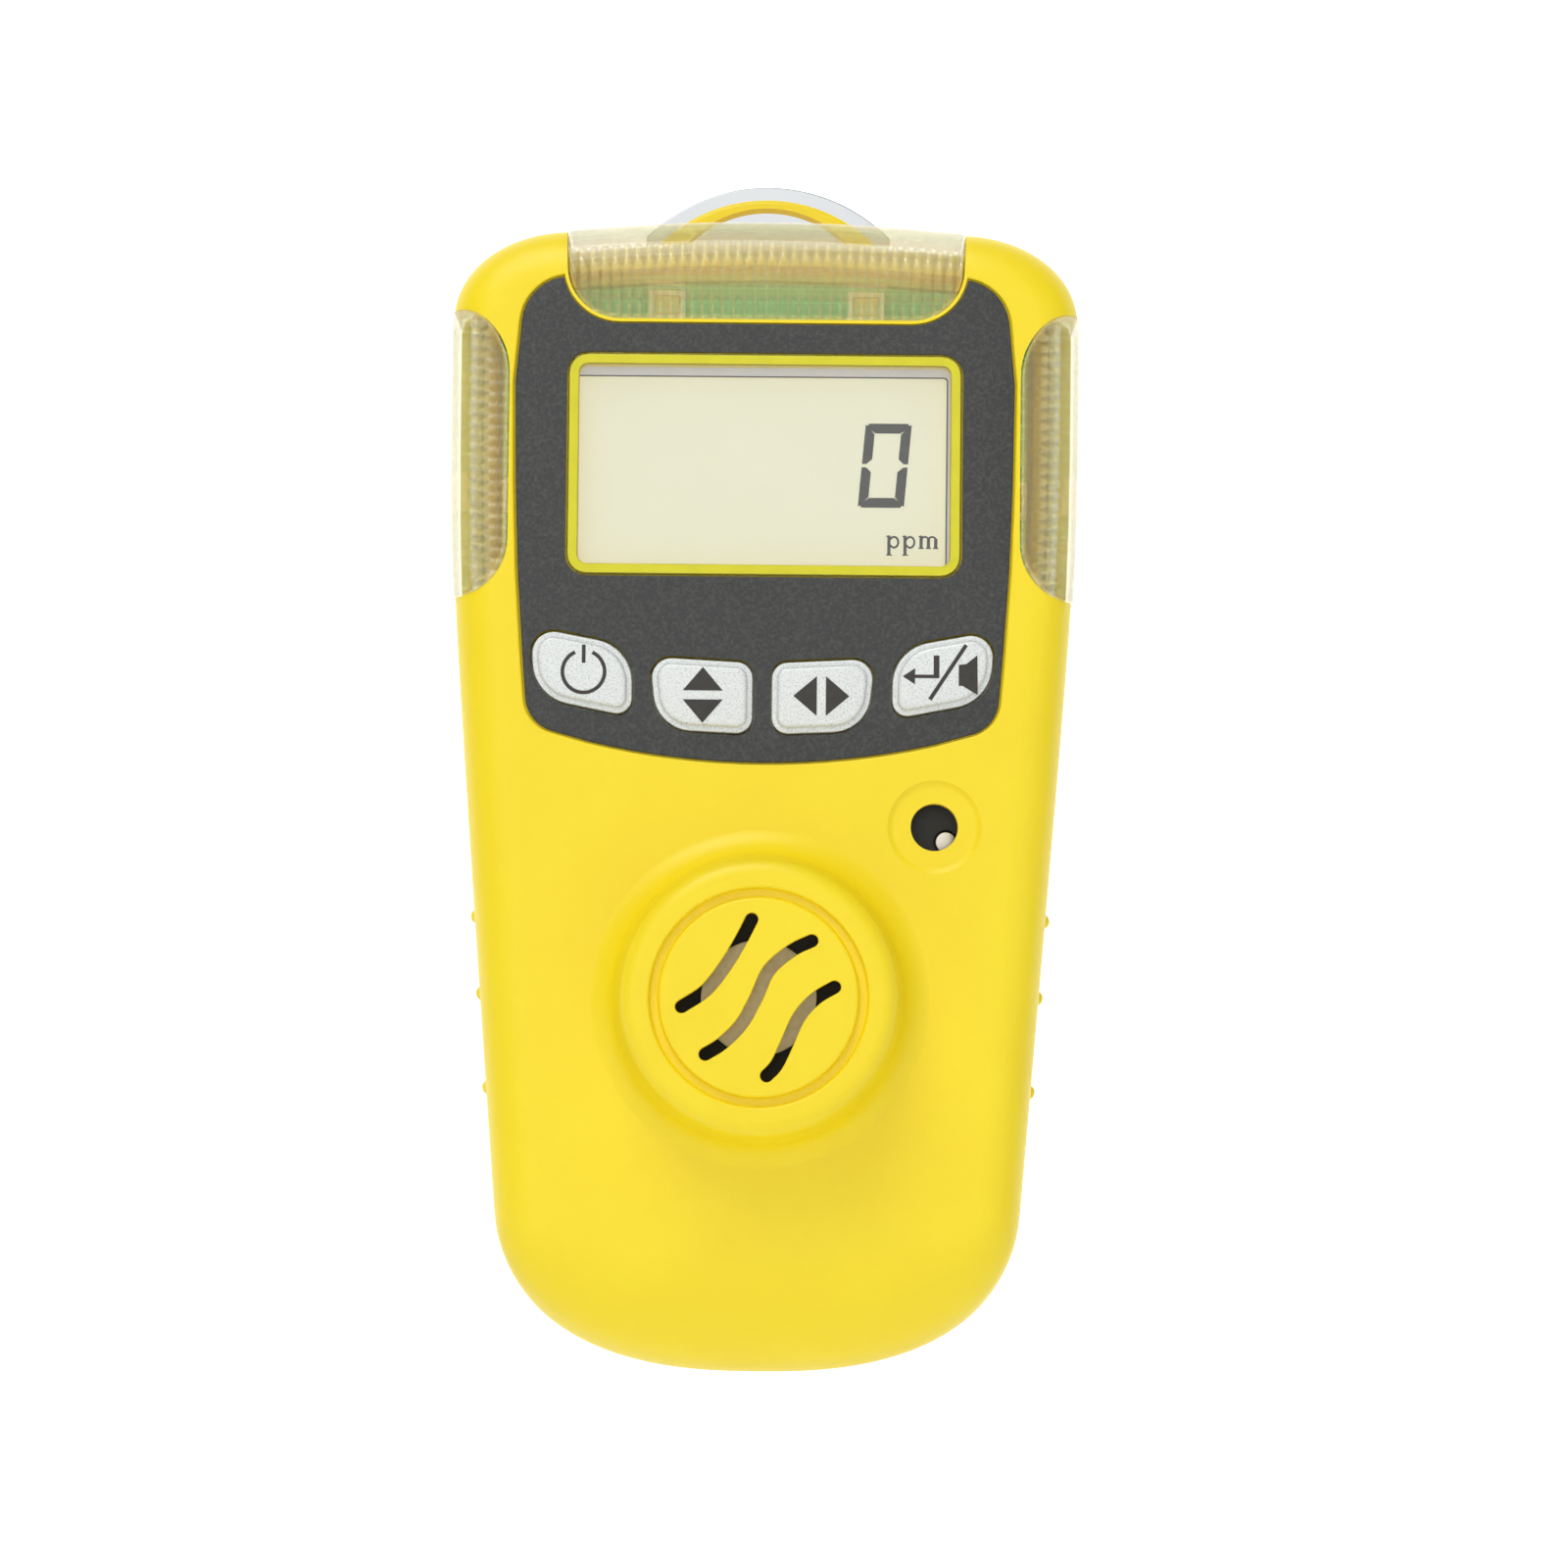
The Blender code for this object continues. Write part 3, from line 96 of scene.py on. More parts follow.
HEIGHT = z_mm(high("top_alarm_lens").z) - LENS_PROUD
TOP_POST_IN = 8.55
WIDTH = x_mm(low("case_screw_top_right").x + high("case_screw_top_right").x) + 2 * TOP_POST_IN
REAR_DEPTH = y_mm(high("rear_shell").y)
PLATE_FACE = y_mm(low("faceplate").y)
POCKET, PLATE_THICKNESS, PLATE_SEAT = 0.5, 0.4, 0.05
POCKET_Y = PLATE_FACE + PLATE_THICKNESS + PLATE_SEAT
FRONT_Y = POCKET_Y - POCKET
FRONT_DEPTH = -FRONT_Y
WALL, GAP, FIT = 2.0, 0.3, 0.15
INNER_Y = FRONT_Y + WALL
REAR_INNER_Y = REAR_DEPTH - WALL

# Casing form
SIDE_TAPER = 0.081
TAPER_START = HEIGHT - 31.9
TAPER_BLEND = 0.66
NOSE_Z, NOSE_POWER = 15.4, 2.5
SHOULDER_X, SHOULDER_Z = WIDTH / 2 - 11.05, HEIGHT - 9.3
CROWN_RADIUS = 190.0
FRONT_EDGE = {"side": 4.2, "nose": (11.0, 9.0), "top": 4.6}
REAR_EDGE = {"side": 4.0, "nose": (6.0, 6.0), "top": 7.0}
RIDGE_Z = (42.4, 35.2, 26.4)
RIDGE_RADIUS, RIDGE_SUNK, RIDGE_START = 0.75, 0.25, 0.5

# Lenses
LENS_WALL = 2.0
SIDE_LENS_INNER = WIDTH / 2 - 5.45
SIDE_LENS_TOP, SIDE_LENS_BOTTOM = HEIGHT - 8.9, HEIGHT - 35.7
SIDE_LENS_UPPER_ARC, SIDE_LENS_LOWER_ARC = (5.2, 6.0), (4.8, 5.2)
TOP_LENS_HALF, TOP_LENS_BOTTOM, TOP_LENS_CORNER = 18.2, HEIGHT - 9.6, 4.8

# Faceplate, display and keys
PLATE_INSET_TOP, PLATE_INSET_BOTTOM = 6.0, 6.3
PLATE_TOP, PLATE_BOTTOM, PLATE_BOTTOM_RADIUS, PLATE_LIP = HEIGHT - 5.8, HEIGHT - 51.25, 71.0, 0.6
WINDOW_Z, WINDOW_WIDTH, WINDOW_HEIGHT, WINDOW_CORNER, WINDOW_SEAT = HEIGHT - 23.4, 37.0, 21.05, 2.0, 1.2
BORDER, LEDGE_RIGHT, LEDGE_TOP, FILM_IN = 1.1, 0.45, 0.95, 0.4
DIGIT_AT, DIGIT_SIZE, UNIT_AT = (8.75, WINDOW_Z - 3.6), (4.3, 7.85), (11.45, WINDOW_Z - 7.35)
KEY_ROW_Z = HEIGHT - 43.5
INNER_KEY = ((0.9, -5.1, 1.5), (9.75, -4.7, 3.6), (10.45, 2.0, 1.8), (0.9, 1.5, 1.5))
OUTER_KEY = ((12.1, -3.6, 1.4), (21.15, -1.8, 4.0), (21.55, 4.7, 2.0), (12.1, 2.9, 4.0))
KEY_FIT, KEY_SKIRT, FLANGE, FLANGE_THICKNESS = 0.25, 0.5, 0.6, 0.5
KEY_TOP = y_mm(low("key_power").y)

LED_RIM, LED_WELL = 0.45, 0.6

# Sensor boss, sounder and fasteners
SENSOR_Z = centre_of("sensor_cell")[1]
SENSOR_RADIUS = x_mm(high("sensor_cell").x)
BOSS_Y = y_mm(low("front_shell").y)
BOSS_BORE = SENSOR_RADIUS + 0.4
BOSS_RIM = BOSS_BORE + 2.1
BORE_Y = BOSS_Y + 1.6
SLOT_WIDTH = 1.2
SLOT_A = ((-0.7, 7.1), (-1.6, 5.3), (-3.0, 2.9), (-4.8, 0.6), (-7.0, -0.9))
SLOT_B = ((4.8, 5.2), (3.0, 4.3), (0.95, 2.5), (-0.2, 0.0), (-1.5, -2.4), (-3.25, -4.2), (-4.8, -5.2))
SLOT_C = ((6.9, 1.0), (5.2, -0.05), (3.7, -1.75), (2.6, -4.2), (1.7, -6.1), (0.8, -7.1))
PORT_X, PORT_Z, PORT_RADIUS, DISH_RADIUS, DISH_DEPTH = 16.1, PLATE_BOTTOM - 5.85, 2.2, 4.4, 0.35
POST_RADIUS, SCREW_RADIUS, SCREW_HEAD, SCREW_SEAT = 2.6, 1.0, 2.1, 3.2
CASE_HEAD_HEIGHT, SMALL_HEAD_HEIGHT = 1.6, 1.1
CASE_SCREWS = [f"case_screw_{row}_{side}" for row in ("top", "low") for side in ("left", "right")]
STANDOFFS, STANDOFF_RADIUS, STANDOFF_END = ((0.0, 52.4), (0.0, 13.9)), 2.2, -1.9

# Back
LOOP_Y = (7.0, 9.6)
LOOP_OUTER, LOOP_INNER = (14.9, HEIGHT - 9.1), (10.7, HEIGHT - 5.8)
LOOP_FLOOR, LOOP_NOTCH_HALF = HEIGHT - 2.1, 7.5
RATING_WIDTH, RATING_HEIGHT, RATING_Z, RATING_CORNER = 36.0, 20.0, 31.4, 1.5
CONTACT_STEM, CONTACT_HEAD, CONTACT_SEAT, CONTACT_CAP = 0.9, 1.8, 0.8, 0.7
CONTACT_X, CONTACT_Z = 5.0, 12.0
CLIP_SHEET, CLIP_HALF = 1.0, 9.0
CLIP_Y = y_mm(0.0)
PLATE_Y = CLIP_Y - CLIP_SHEET
CLIP_BOTTOM, CLIP_TOP = HEIGHT - 56.5, HEIGHT - 12.0
PIVOT_Y, PIVOT_Z = y_mm((low("clip_pin").y + high("clip_pin").y) / 2), centre_of("clip_pin")[1]
PIN_RADIUS, EAR_RADIUS = 1.1, 4.5
LEVER_HALF = CLIP_HALF - CLIP_SHEET - 2 * GAP
LEVER_Y = CLIP_Y + 5.8
TAB_HALF, TAB_RADIUS, TAB_FLARE = 12.3, 17.0, 2.3
TAB_PEAK = HEIGHT + 10.0
JAW_Z, CLIP_SCREW_Z = HEIGHT - 54.0, HEIGHT - 24.5
EAR_OUT, CHEEK_IN = 2.0, 1.9
WIRE_RADIUS, COIL_RADIUS = 0.4, 1.9

# Camera: its place in metres, its angles, and its sensor width in mm
CAMERA_AT = (0.00212, -0.4637, -0.0296)
CAMERA_RISE, CAMERA_ROLL = radians(4.0), radians(0.56)
CAMERA_SENSOR = 36.0


# ---------------------------------------------------------------- settings a user would change


def linear(hex_colour):
    """An sRGB hex colour as linear values."""
    channels = [int(hex_colour[i : i + 2], 16) / 255 for i in (0, 2, 4)]
    return tuple(c / 12.92 if c <= 0.04045 else ((c + 0.055) / 1.055) ** 2.4 for c in channels)


def colour(name, description, hex_colour):
    return FloatVectorProperty(
        name=name, description=description, subtype="COLOR", min=0, max=1, default=linear(hex_colour)
    )


class GasDetectorShape(bpy.types.PropertyGroup):
    """Sizes of the fine surface."""

    edge: FloatProperty(
        name="Edge Rounding", description="Radius on moulded openings", default=0.0003, unit="LENGTH"
    )
    flute_pitch: FloatProperty(
        name="Flute Pitch", description="Spacing of the lens flutes", default=0.00105, unit="LENGTH"
    )
    flute_depth: FloatProperty(
        name="Flute Depth", description="Depth of the lens flutes", default=0.00026, unit="LENGTH"
    )
    ink: FloatProperty(
        name="Ink Thickness", description="Height of printed symbols", default=0.00003, unit="LENGTH"
    )
    round_steps: IntProperty(
        name="Round Steps", description="Segments in a full turn of a round piece", default=96, min=24
    )


class GasDetectorColours(bpy.types.PropertyGroup):
    """Colours of the finishes."""

    casing: colour("Casing", "Moulded ABS", "FAE012")
    casing_deep: colour("Casing Deep", "Where the pigment lies thicker", "F8DC10")
    lens: colour("Lens", "Clear polycarbonate", "FDF4AE")
    faceplate: colour("Faceplate", "Overlay film", "262827")
    faceplate_fleck: colour("Faceplate Fleck", "Bright grain in the film", "424440")
    border: colour("Border", "Printed border of the display", "DBD41C")
    key: colour("Key", "Silver paint", "E6E9E7")
    key_fleck: colour("Key Fleck", "Dark grain in the paint", "BFC4C2")
    lcd: colour("Display", "Reflective polariser", "E7E5CB")
    ink: colour("Ink", "Key symbols", "35312D")
    board: colour("Board", "Solder mask", "4DB583")


class GasDetectorStudio(bpy.types.PropertyGroup):
    """The studio."""

    lens: FloatProperty(name="Lens", description="Camera focal length in mm", default=107.8)
    key: FloatProperty(name="Key Light", description="Soft box above", default=5.6, unit="POWER")
    front: FloatProperty(name="Front Light", description="Card by the camera", default=4.4, unit="POWER")
    fill: FloatProperty(name="Fill Light", description="Soft box on the right", default=0.8, unit="POWER")
    world: FloatProperty(name="Room Light", description="Even light from all round", default=0.3)
    backdrop: FloatProperty(name="Backdrop", description="Glow of the white backdrop", default=0.9)


# ---------------------------------------------------------------- shapes


def steps_in(count):
    """The angles of a quarter turn in equal steps."""
    return [pi / 2 * k / count for k in range(count + 1)]


def softened(corners, steps=5, closed=True):
    """An outline through (a, b, radius) corners, each turned into an arc."""
    outline = []
    count = len(corners)
    for i, (a, b, radius) in enumerate(corners):
        if not radius or (not closed and i in (0, count - 1)):
            outline.append((a, b))
            continue
        here = Vector((a, b))
        back = (Vector(corners[i - 1][:2]) - here).normalized()
        ahead = (Vector(corners[(i + 1) % count][:2]) - here).normalized()
        half = back.angle(ahead) / 2
        centre = here + (back + ahead).normalized() * (radius / sin(half))
        first = here + back * (radius / tan(half)) - centre
        last = here + ahead * (radius / tan(half)) - centre
        start = atan2(first.y, first.x)
        sweep = (atan2(last.y, last.x) - start + pi) % (2 * pi) - pi
        for k in range(steps + 1):
            angle = start + sweep * k / steps
            outline.append((centre.x + radius * cos(angle), centre.y + radius * sin(angle)))
    return outline


def grown(outline, by):
    """An anticlockwise outline moved outwards by `by`."""
    moved = []
    for i, (a, b) in enumerate(outline):
        before = (Vector((a, b)) - Vector(outline[i - 1])).normalized()
        after = (Vector(outline[(i + 1) % len(outline)]) - Vector((a, b))).normalized()
        normal = Vector((before.y + after.y, -before.x - after.x)).normalized()
        spread = by / max(0.5, normal.dot(Vector((before.y, -before.x))))
        moved.append((a + normal.x * spread, b + normal.y * spread))
    return moved


def mirrored(outline):
    return [(-a, b) for a, b in reversed(outline)]


def rectangle(half, bottom, top, radius, middle=0.0):
    left, right = middle - half, middle + half
    corners = ((left, bottom), (right, bottom), (right, top), (left, top))
    return softened([(*corner, radius) for corner in corners])


def ring_outline(x, z, radius, steps=64):
    turns = [2 * pi * k / steps for k in range(steps)]
    return [(x + radius * cos(t), z + radius * sin(t)) for t in turns]


def curve_through(path, per_span=5):
    """A smooth path through points, with the slope at each one taken from its neighbours."""
    points = [Vector(p) for p in path]
    points = [2 * points[0] - points[1], *points, 2 * points[-1] - points[-2]]
    made = []
    for p0, p1, p2, p3 in zip(points, points[1:], points[2:], points[3:]):
        slope = p2 - p0
        square = 2 * p0 - 5 * p1 + 4 * p2 - p3
        cube = 3 * p1 - p0 - 3 * p2 + p3
        for k in range(per_span):
            t = k / per_span
            made.append(0.5 * (2 * p1 + slope * t + square * t**2 + cube * t**3))
    return [tuple(p) for p in (*made, points[-2])]


def strip(path, width, end_steps=0):
    """The outline of an open path given a width, with round ends if end_steps is over 0."""
    half = width / 2
    left, right = [], []
    for i, point in enumerate(path):
        before = Vector(path[max(i - 1, 0)])
        after = Vector(path[min(i + 1, len(path) - 1)])
        along = (after - before).normalized()
        side = Vector((-along.y, along.x)) * half
        left.append(tuple(Vector(point) + side))
        right.append(tuple(Vector(point) - side))

    def cap(at, towards):
        start = atan2(towards.y, towards.x) - pi / 2
        angles = [start + pi * k / (end_steps + 1) for k in range(1, end_steps + 1)]
        return [(at[0] + half * cos(a), at[1] + half * sin(a)) for a in angles]

    last = (Vector(path[-1]) - Vector(path[-2])).normalized()
    first = (Vector(path[0]) - Vector(path[1])).normalized()
    return right + cap(path[-1], last) + left[::-1] + cap(path[0], first)


def loft(rings, closed=False):
    """A solid through rings with equally many points. A closed one joins its last ring to its first."""
    bm = bmesh.new()
    loops = [[bm.verts.new(p) for p in ring] for ring in rings]
    count = len(loops[0])
    pairs = list(zip(loops, loops[1:]))
    if closed:
        pairs.append((loops[-1], loops[0]))
    for a, b in pairs:
        for i in range(count):
            j = (i + 1) % count
            bm.faces.new((a[i], a[j], b[j], b[i]))
    if not closed:
        bm.faces.new(loops[0])
        bm.faces.new(loops[-1])
    bmesh.ops.recalc_face_normals(bm, faces=bm.faces)
    return bm


def stacked(outline, sections):
    """A front-to-back solid whose outline grows by each section's amount at its depth (y, growth)."""
    return loft([[(x, y, z) for x, z in (grown(outline, by) if by else outline)] for y, by in sections])


def prism(outline, front, back):
    return stacked(outline, ((front, 0), (back, 0)))


def pillow(outline, face, back, radius, steps=4):
    """A flat piece whose front edge is rounded."""
    turns = steps_in(steps)
    rim = [(face + radius * (1 - sin(t)), -radius * (1 - cos(t))) for t in turns]
    return stacked(outline, [(back, 0), *rim])


def mouth(outline, face, floor, radius, out=1.0, steps=4):
    """A cutter for an opening in a flat face, with a rounded lip."""
    turns = steps_in(steps)
    lip = [(face + radius - (radius + 0.02) * sin(t), radius * (1 - cos(t))) for t in turns]
    return stacked(outline, [(floor, 0), *lip, (face - out, radius)])


def sideways(outline, left, right):
    """A (y, z) outline drawn out along X."""
    return loft([[(x, y, z) for y, z in outline] for x in (left, right)])


def turned(profile, at, steps=96):
    """A round solid about a line along Y through `at`. Its (radius, y) profile starts and ends on it."""
    bm = bmesh.new()
    rings = []
    for radius, y in profile:
        if radius < 1e-6:
            rings.append([bm.verts.new((at[0], y, at[1]))])
        else:
            turns = [2 * pi * k / steps for k in range(steps)]
            rings.append([bm.verts.new((at[0] + radius * cos(t), y, at[1] + radius * sin(t))) for t in turns])
    for a, b in zip(rings, rings[1:]):
        for i in range(steps):
            j = (i + 1) % steps
            corners = [a[i % len(a)], a[j % len(a)], b[j % len(b)], b[i % len(b)]]
            bm.faces.new(list(dict.fromkeys(corners)))
    bmesh.ops.recalc_face_normals(bm, faces=bm.faces)
    return bm


def drum(at, radius, front, back, soft=0.0, steps=48):
    """A cylinder along Y with softened ends."""
    corners = [(0, front, 0), (radius, front, soft), (radius, back, soft), (0, back, 0)]
    return turned(softened(corners, 3, closed=False), at, steps)


def hoop(profile, at, steps=96):
    """A closed (radius, y) section turned into a ring along Y."""
    turns = [2 * pi * k / steps for k in range(steps)]
    rings = [[(at[0] + r * cos(t), y, at[1] + r * sin(t)) for r, y in profile] for t in turns]
    return loft(rings, closed=True)


def capsule(at, radius, front, back, steps=24):
    """A rounded rod along Y."""
    ball = steps_in(6)
    nose = [(radius * sin(t), front + radius * (1 - cos(t))) for t in ball]
    tail = [(radius * cos(t), back - radius * (1 - sin(t))) for t in ball]
    return turned(nose + tail, at, steps)


def tube(points, radius, sides=14):
    """A wire of one thickness along points."""
    points = [Vector(p) for p in points]
    normal = None
    rings = []
    for i, at in enumerate(points):
        along = (points[min(i + 1, len(points) - 1)] - points[max(i - 1, 0)]).normalized()
        if normal is None:
            normal = along.orthogonal()
        normal = (normal - along * normal.dot(along)).normalized()
        across = along.cross(normal)
        turns = [2 * pi * k / sides for k in range(sides)]
        rings.append([at + (normal * cos(t) + across * sin(t)) * radius for t in turns])
    return loft(rings)


def carve(body, joins=(), cuts=(), keeps=()):
    """Joins, cuts and keeps, in that order, worked out at millimetre size, and given back as a bmesh."""

    def held(bm):
        mesh = bpy.data.meshes.new("shape")
        bm.to_mesh(mesh)
        bm.free()
        obj = bpy.data.objects.new("shape", mesh)
        bpy.context.scene.collection.objects.link(obj)
        return obj

    host = held(body)
    tools = []
    for operation, shapes in (("UNION", joins), ("DIFFERENCE", cuts), ("INTERSECT", keeps)):
        for shape in shapes:
            tool = held(shape)
            step = host.modifiers.new("step", "BOOLEAN")
            step.operation = operation
            step.solver = "EXACT"
            step.object = tool
            tools.append(tool)
    bpy.context.view_layer.update()
    made = bmesh.new()
    made.from_object(host, bpy.context.evaluated_depsgraph_get())
    if not made.faces:
        raise RuntimeError("a cut left nothing")
    for obj in (host, *tools):
        mesh = obj.data
        bpy.data.objects.remove(obj, do_unlink=True)
        bpy.data.meshes.remove(mesh)
    return made


def show(name, bm, finish, body="casing", replaces=(), sharp=32.0, even=False):
    """The bmesh as a piece that rides on a CAD body. An even one has its normals weighted by face size."""
    for vert in bm.verts:
        vert.co = vert.co * MM + DATUM
    mesh = bpy.data.meshes.new(name)
    bm.to_mesh(mesh)
    bm.free()
    mesh.shade_smooth()
    mesh.set_sharp_from_angle(angle=radians(sharp))
    mesh.materials.append(finish)
    obj = bpy.data.objects.new(name, mesh)
    bpy.context.scene.collection.objects.link(obj)
    if even:
        weigh = obj.modifiers.new("weigh", "WEIGHTED_NORMAL")
        weigh.keep_sharp = True
    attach(obj, body)
    if replaces:
        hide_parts(*replaces)
    return obj


# ---------------------------------------------------------------- casing form


def half_width(z):
    """Half the casing's width at a height: tapered below, straight above, rounded in at the shoulder."""
    drift = SIDE_TAPER * (TAPER_START - z)
    straight = WIDTH / 2 - (drift + sqrt(drift * drift + TAPER_BLEND**2)) / 2
    if z <= SHOULDER_Z:
        return straight
    up = (z - SHOULDER_Z) / (crown(SHOULDER_X) - SHOULDER_Z)
    return SHOULDER_X + (half_width(SHOULDER_Z) - SHOULDER_X) * sqrt(max(0.0, 1 - up * up))


def crown(x):
    """The height of the casing's gently domed top."""
    return HEIGHT - x * x / (2 * CROWN_RADIUS)


def casing_outline(side=0.0, nose=0.0, top=0.0):
    """The casing's outline with its sides, bottom and top moved in by these amounts."""
    power = 2 / NOSE_POWER
    right = []
    nose_steps, side_steps, shoulder_steps, crown_steps = 26, 14, 22, 6
    for k in range(nose_steps + 1):
        turn = pi / 2 * k / nose_steps
        z = NOSE_Z - (NOSE_Z - nose) * max(0.0, cos(turn)) ** power
        right.append(((half_width(z) - side) * sin(turn) ** power, z))
    for k in range(1, side_steps + 1):
        z = NOSE_Z + (SHOULDER_Z - NOSE_Z) * k / side_steps
        right.append((half_width(z) - side, z))
    across = half_width(SHOULDER_Z) - side - SHOULDER_X
    up = crown(SHOULDER_X) - top - SHOULDER_Z
    for k in range(1, shoulder_steps + 1):
        turn = pi / 2 * k / shoulder_steps
        right.append((SHOULDER_X + across * cos(turn), SHOULDER_Z + up * sin(turn)))
    for k in range(1, crown_steps + 1):
        x = SHOULDER_X * (1 - k / crown_steps)
        right.append((x, crown(x) - top))
    return right + [(-x, z) for x, z in right[-2:0:-1]]


def edge_inset(depth, total, radius, reach):
    """How far the outline has moved in at a depth, on an edge that starts `reach` before the face."""
    past = max(0.0, depth - (total - reach)) / reach
    return radius * (1 - sqrt(max(0.0, 1 - past * past)))


def shell_rings(sign, total, edge, inset):
    """Rings of the casing's skin from the parting plane to the face."""
    depth = total - inset
    side = edge["side"] - inset
    nose, nose_reach = edge["nose"][0] - inset, edge["nose"][1] - inset
    top = edge["top"] - inset
    depths = [GAP / 2] + [depth - nose_reach * (1 - sin(t)) for t in steps_in(14)]
    rings = []
    for d in depths:
        outline = casing_outline(
            inset + edge_inset(d, depth, side, side),
            inset + edge_inset(d, depth, nose, nose_reach),
            inset + edge_inset(d, depth, top, top),
        )
        rings.append([(x, sign * d, z) for x, z in outline])
    return rings


def cup(sign, total, edge):
    """Half of the casing as an open cup."""
    return loft(shell_rings(sign, total, edge, WALL)[::-1] + shell_rings(sign, total, edge, 0.0))


def side_lens_outline():
    inner, beyond = SIDE_LENS_INNER, WIDTH / 2 + 3
    across, down = SIDE_LENS_UPPER_ARC
    upper = [(inner + across * (1 - sin(t)), SIDE_LENS_TOP - down * (1 - cos(t))) for t in steps_in(12)]
    across, up = SIDE_LENS_LOWER_ARC
    lower = [(inner + across * (1 - cos(t)), SIDE_LENS_BOTTOM + up * (1 - sin(t))) for t in steps_in(12)]
    return [(beyond, SIDE_LENS_BOTTOM - 0.5), (beyond, SIDE_LENS_TOP + 1.2), *upper, *lower]


def top_lens_outline():
    above = HEIGHT + 3
    corners = (
        (-TOP_LENS_HALF, TOP_LENS_BOTTOM, TOP_LENS_CORNER),
        (TOP_LENS_HALF, TOP_LENS_BOTTOM, TOP_LENS_CORNER),
        (TOP_LENS_HALF + 0.6, above, 0),
        (-TOP_LENS_HALF - 0.6, above, 0),
    )
    return softened(corners, 12)


def plate_outline():
    """The faceplate before the top lens takes its bite out of it."""

    def side(z):
        share = (z - PLATE_BOTTOM) / (PLATE_TOP - PLATE_BOTTOM)
        return half_width(z) - PLATE_INSET_BOTTOM - (PLATE_INSET_TOP - PLATE_INSET_BOTTOM) * share

    def sag(x):
        return PLATE_BOTTOM + PLATE_BOTTOM_RADIUS - sqrt(PLATE_BOTTOM_RADIUS**2 - x * x)

    corner_z = sag(side(PLATE_BOTTOM + 4))
    bottom = [(2.0 * k, sag(2.0 * k), 0) for k in range(9)]
    heights = (PLATE_BOTTOM + 10, PLATE_BOTTOM + 18, PLATE_BOTTOM + 26, PLATE_TOP - 10)
    sides = [(side(z), z, 0) for z in heights]
    right = [*bottom, (side(corner_z), corner_z, 3.4), *sides, (side(PLATE_TOP), PLATE_TOP, 4.6)]
    left = [(-x, z, r) for x, z, r in right[:0:-1]]
    return softened(right + left, 10)


def key_outline(corners, side):
    outline = softened([(x, KEY_ROW_Z + z, r) for x, z, r in corners], 9)
    return outline if side > 0 else mirrored(outline)


def window_outline(inset=0.0):
    half, tall = WINDOW_WIDTH / 2 - inset, WINDOW_HEIGHT / 2 - inset
    return rectangle(half, WINDOW_Z - tall, WINDOW_Z + tall, max(0.4, WINDOW_CORNER - inset))


def rating_outline(inset=0.0):
    half, tall = RATING_WIDTH / 2 - inset, RATING_HEIGHT / 2 - inset
    return rectangle(half, RATING_Z - tall, RATING_Z + tall, RATING_CORNER - inset)


KEYS = {
    "key_power": (OUTER_KEY, -1),
    "key_up_down": (INNER_KEY, -1),
    "key_left_right": (INNER_KEY, 1),
    "key_enter_mute": (OUTER_KEY, 1),
}


def key_centre(name):
    corners, side = KEYS[name]
    x = sum(c[0] for c in corners) / len(corners)
    z = sum(c[1] for c in corners) / len(corners)
    return side * x, KEY_ROW_Z + z


# ---------------------------------------------------------------- materials

# The sockets of a mix node that mixes colours, by number because its other kinds have the same names.
MIX_SHARE, MIX_FIRST, MIX_SECOND, MIX_RESULT = 0, 6, 7, 2


def add(tree, kind, values=(), links=(), **settings):
    """One node with its settings, its input values, and the sockets that feed it."""
    made = tree.nodes.new(kind)
    for key, value in settings.items():
        setattr(made, key, value)
    for key, value in dict(values).items():
        made.inputs[key].default_value = value
    for key, socket in dict(links).items():
        tree.links.new(socket, made.inputs[key])
    return made


def per_metre(size_mm):
    """A texture scale whose features are about this size."""
    return 1.0 / (size_mm * MM)


def surface(name, **values):
    """A material's tree, its shader with uniform values set on it, and the piece's own coordinates."""
    material = bpy.data.materials.new(name)
    material.use_nodes = True
    tree = material.node_tree
    shader = tree.nodes["Principled BSDF"]
    for key, value in values.items():
        shader.inputs[key.replace("_", " ")].default_value = value
    place = add(tree, "ShaderNodeTexCoord").outputs["Object"]
    return material, tree, shader, place


def roughen(tree, shader, pattern, smoothest, roughest):
    """Roughness between two values, led by a pattern."""
    ends = {"To Min": smoothest, "To Max": roughest}
    rough = add(tree, "ShaderNodeMapRange", ends, {"Value": pattern}).outputs["Result"]
    tree.links.new(rough, shader.inputs["Roughness"])


def mottle(tree, shader, place, size_mm, first, second, smoothest, roughest, contrast=(0.3, 0.7)):
    """Soft patches: two near colours and a range of roughness, from one noise."""
    noise = {"Scale": per_metre(size_mm), "Detail": 3.0}
    patches = add(tree, "ShaderNodeTexNoise", noise, {"Vector": place}).outputs["Fac"]
    ends = {"From Min": contrast[0], "From Max": contrast[1]}
    spread = add(tree, "ShaderNodeMapRange", ends, {"Value": patches}).outputs["Result"]
    colours = {MIX_FIRST: (*first, 1), MIX_SECOND: (*second, 1)}
    mixed = add(tree, "ShaderNodeMix", colours, {MIX_SHARE: spread}, data_type="RGBA").outputs[MIX_RESULT]
    tree.links.new(mixed, shader.inputs["Base Color"])
    roughen(tree, shader, patches, smoothest, roughest)


def relief(tree, shader, place, size_mm, depth_mm, strength):
    """A fine raised grain over the whole surface."""
    grain = add(tree, "ShaderNodeTexNoise", {"Scale": per_metre(size_mm)}, {"Vector": place}).outputs["Fac"]
    amount = {"Strength": strength, "Distance": depth_mm * MM}
    bump = add(tree, "ShaderNodeBump", amount, {"Height": grain})
    tree.links.new(bump.outputs["Normal"], shader.inputs["Normal"])


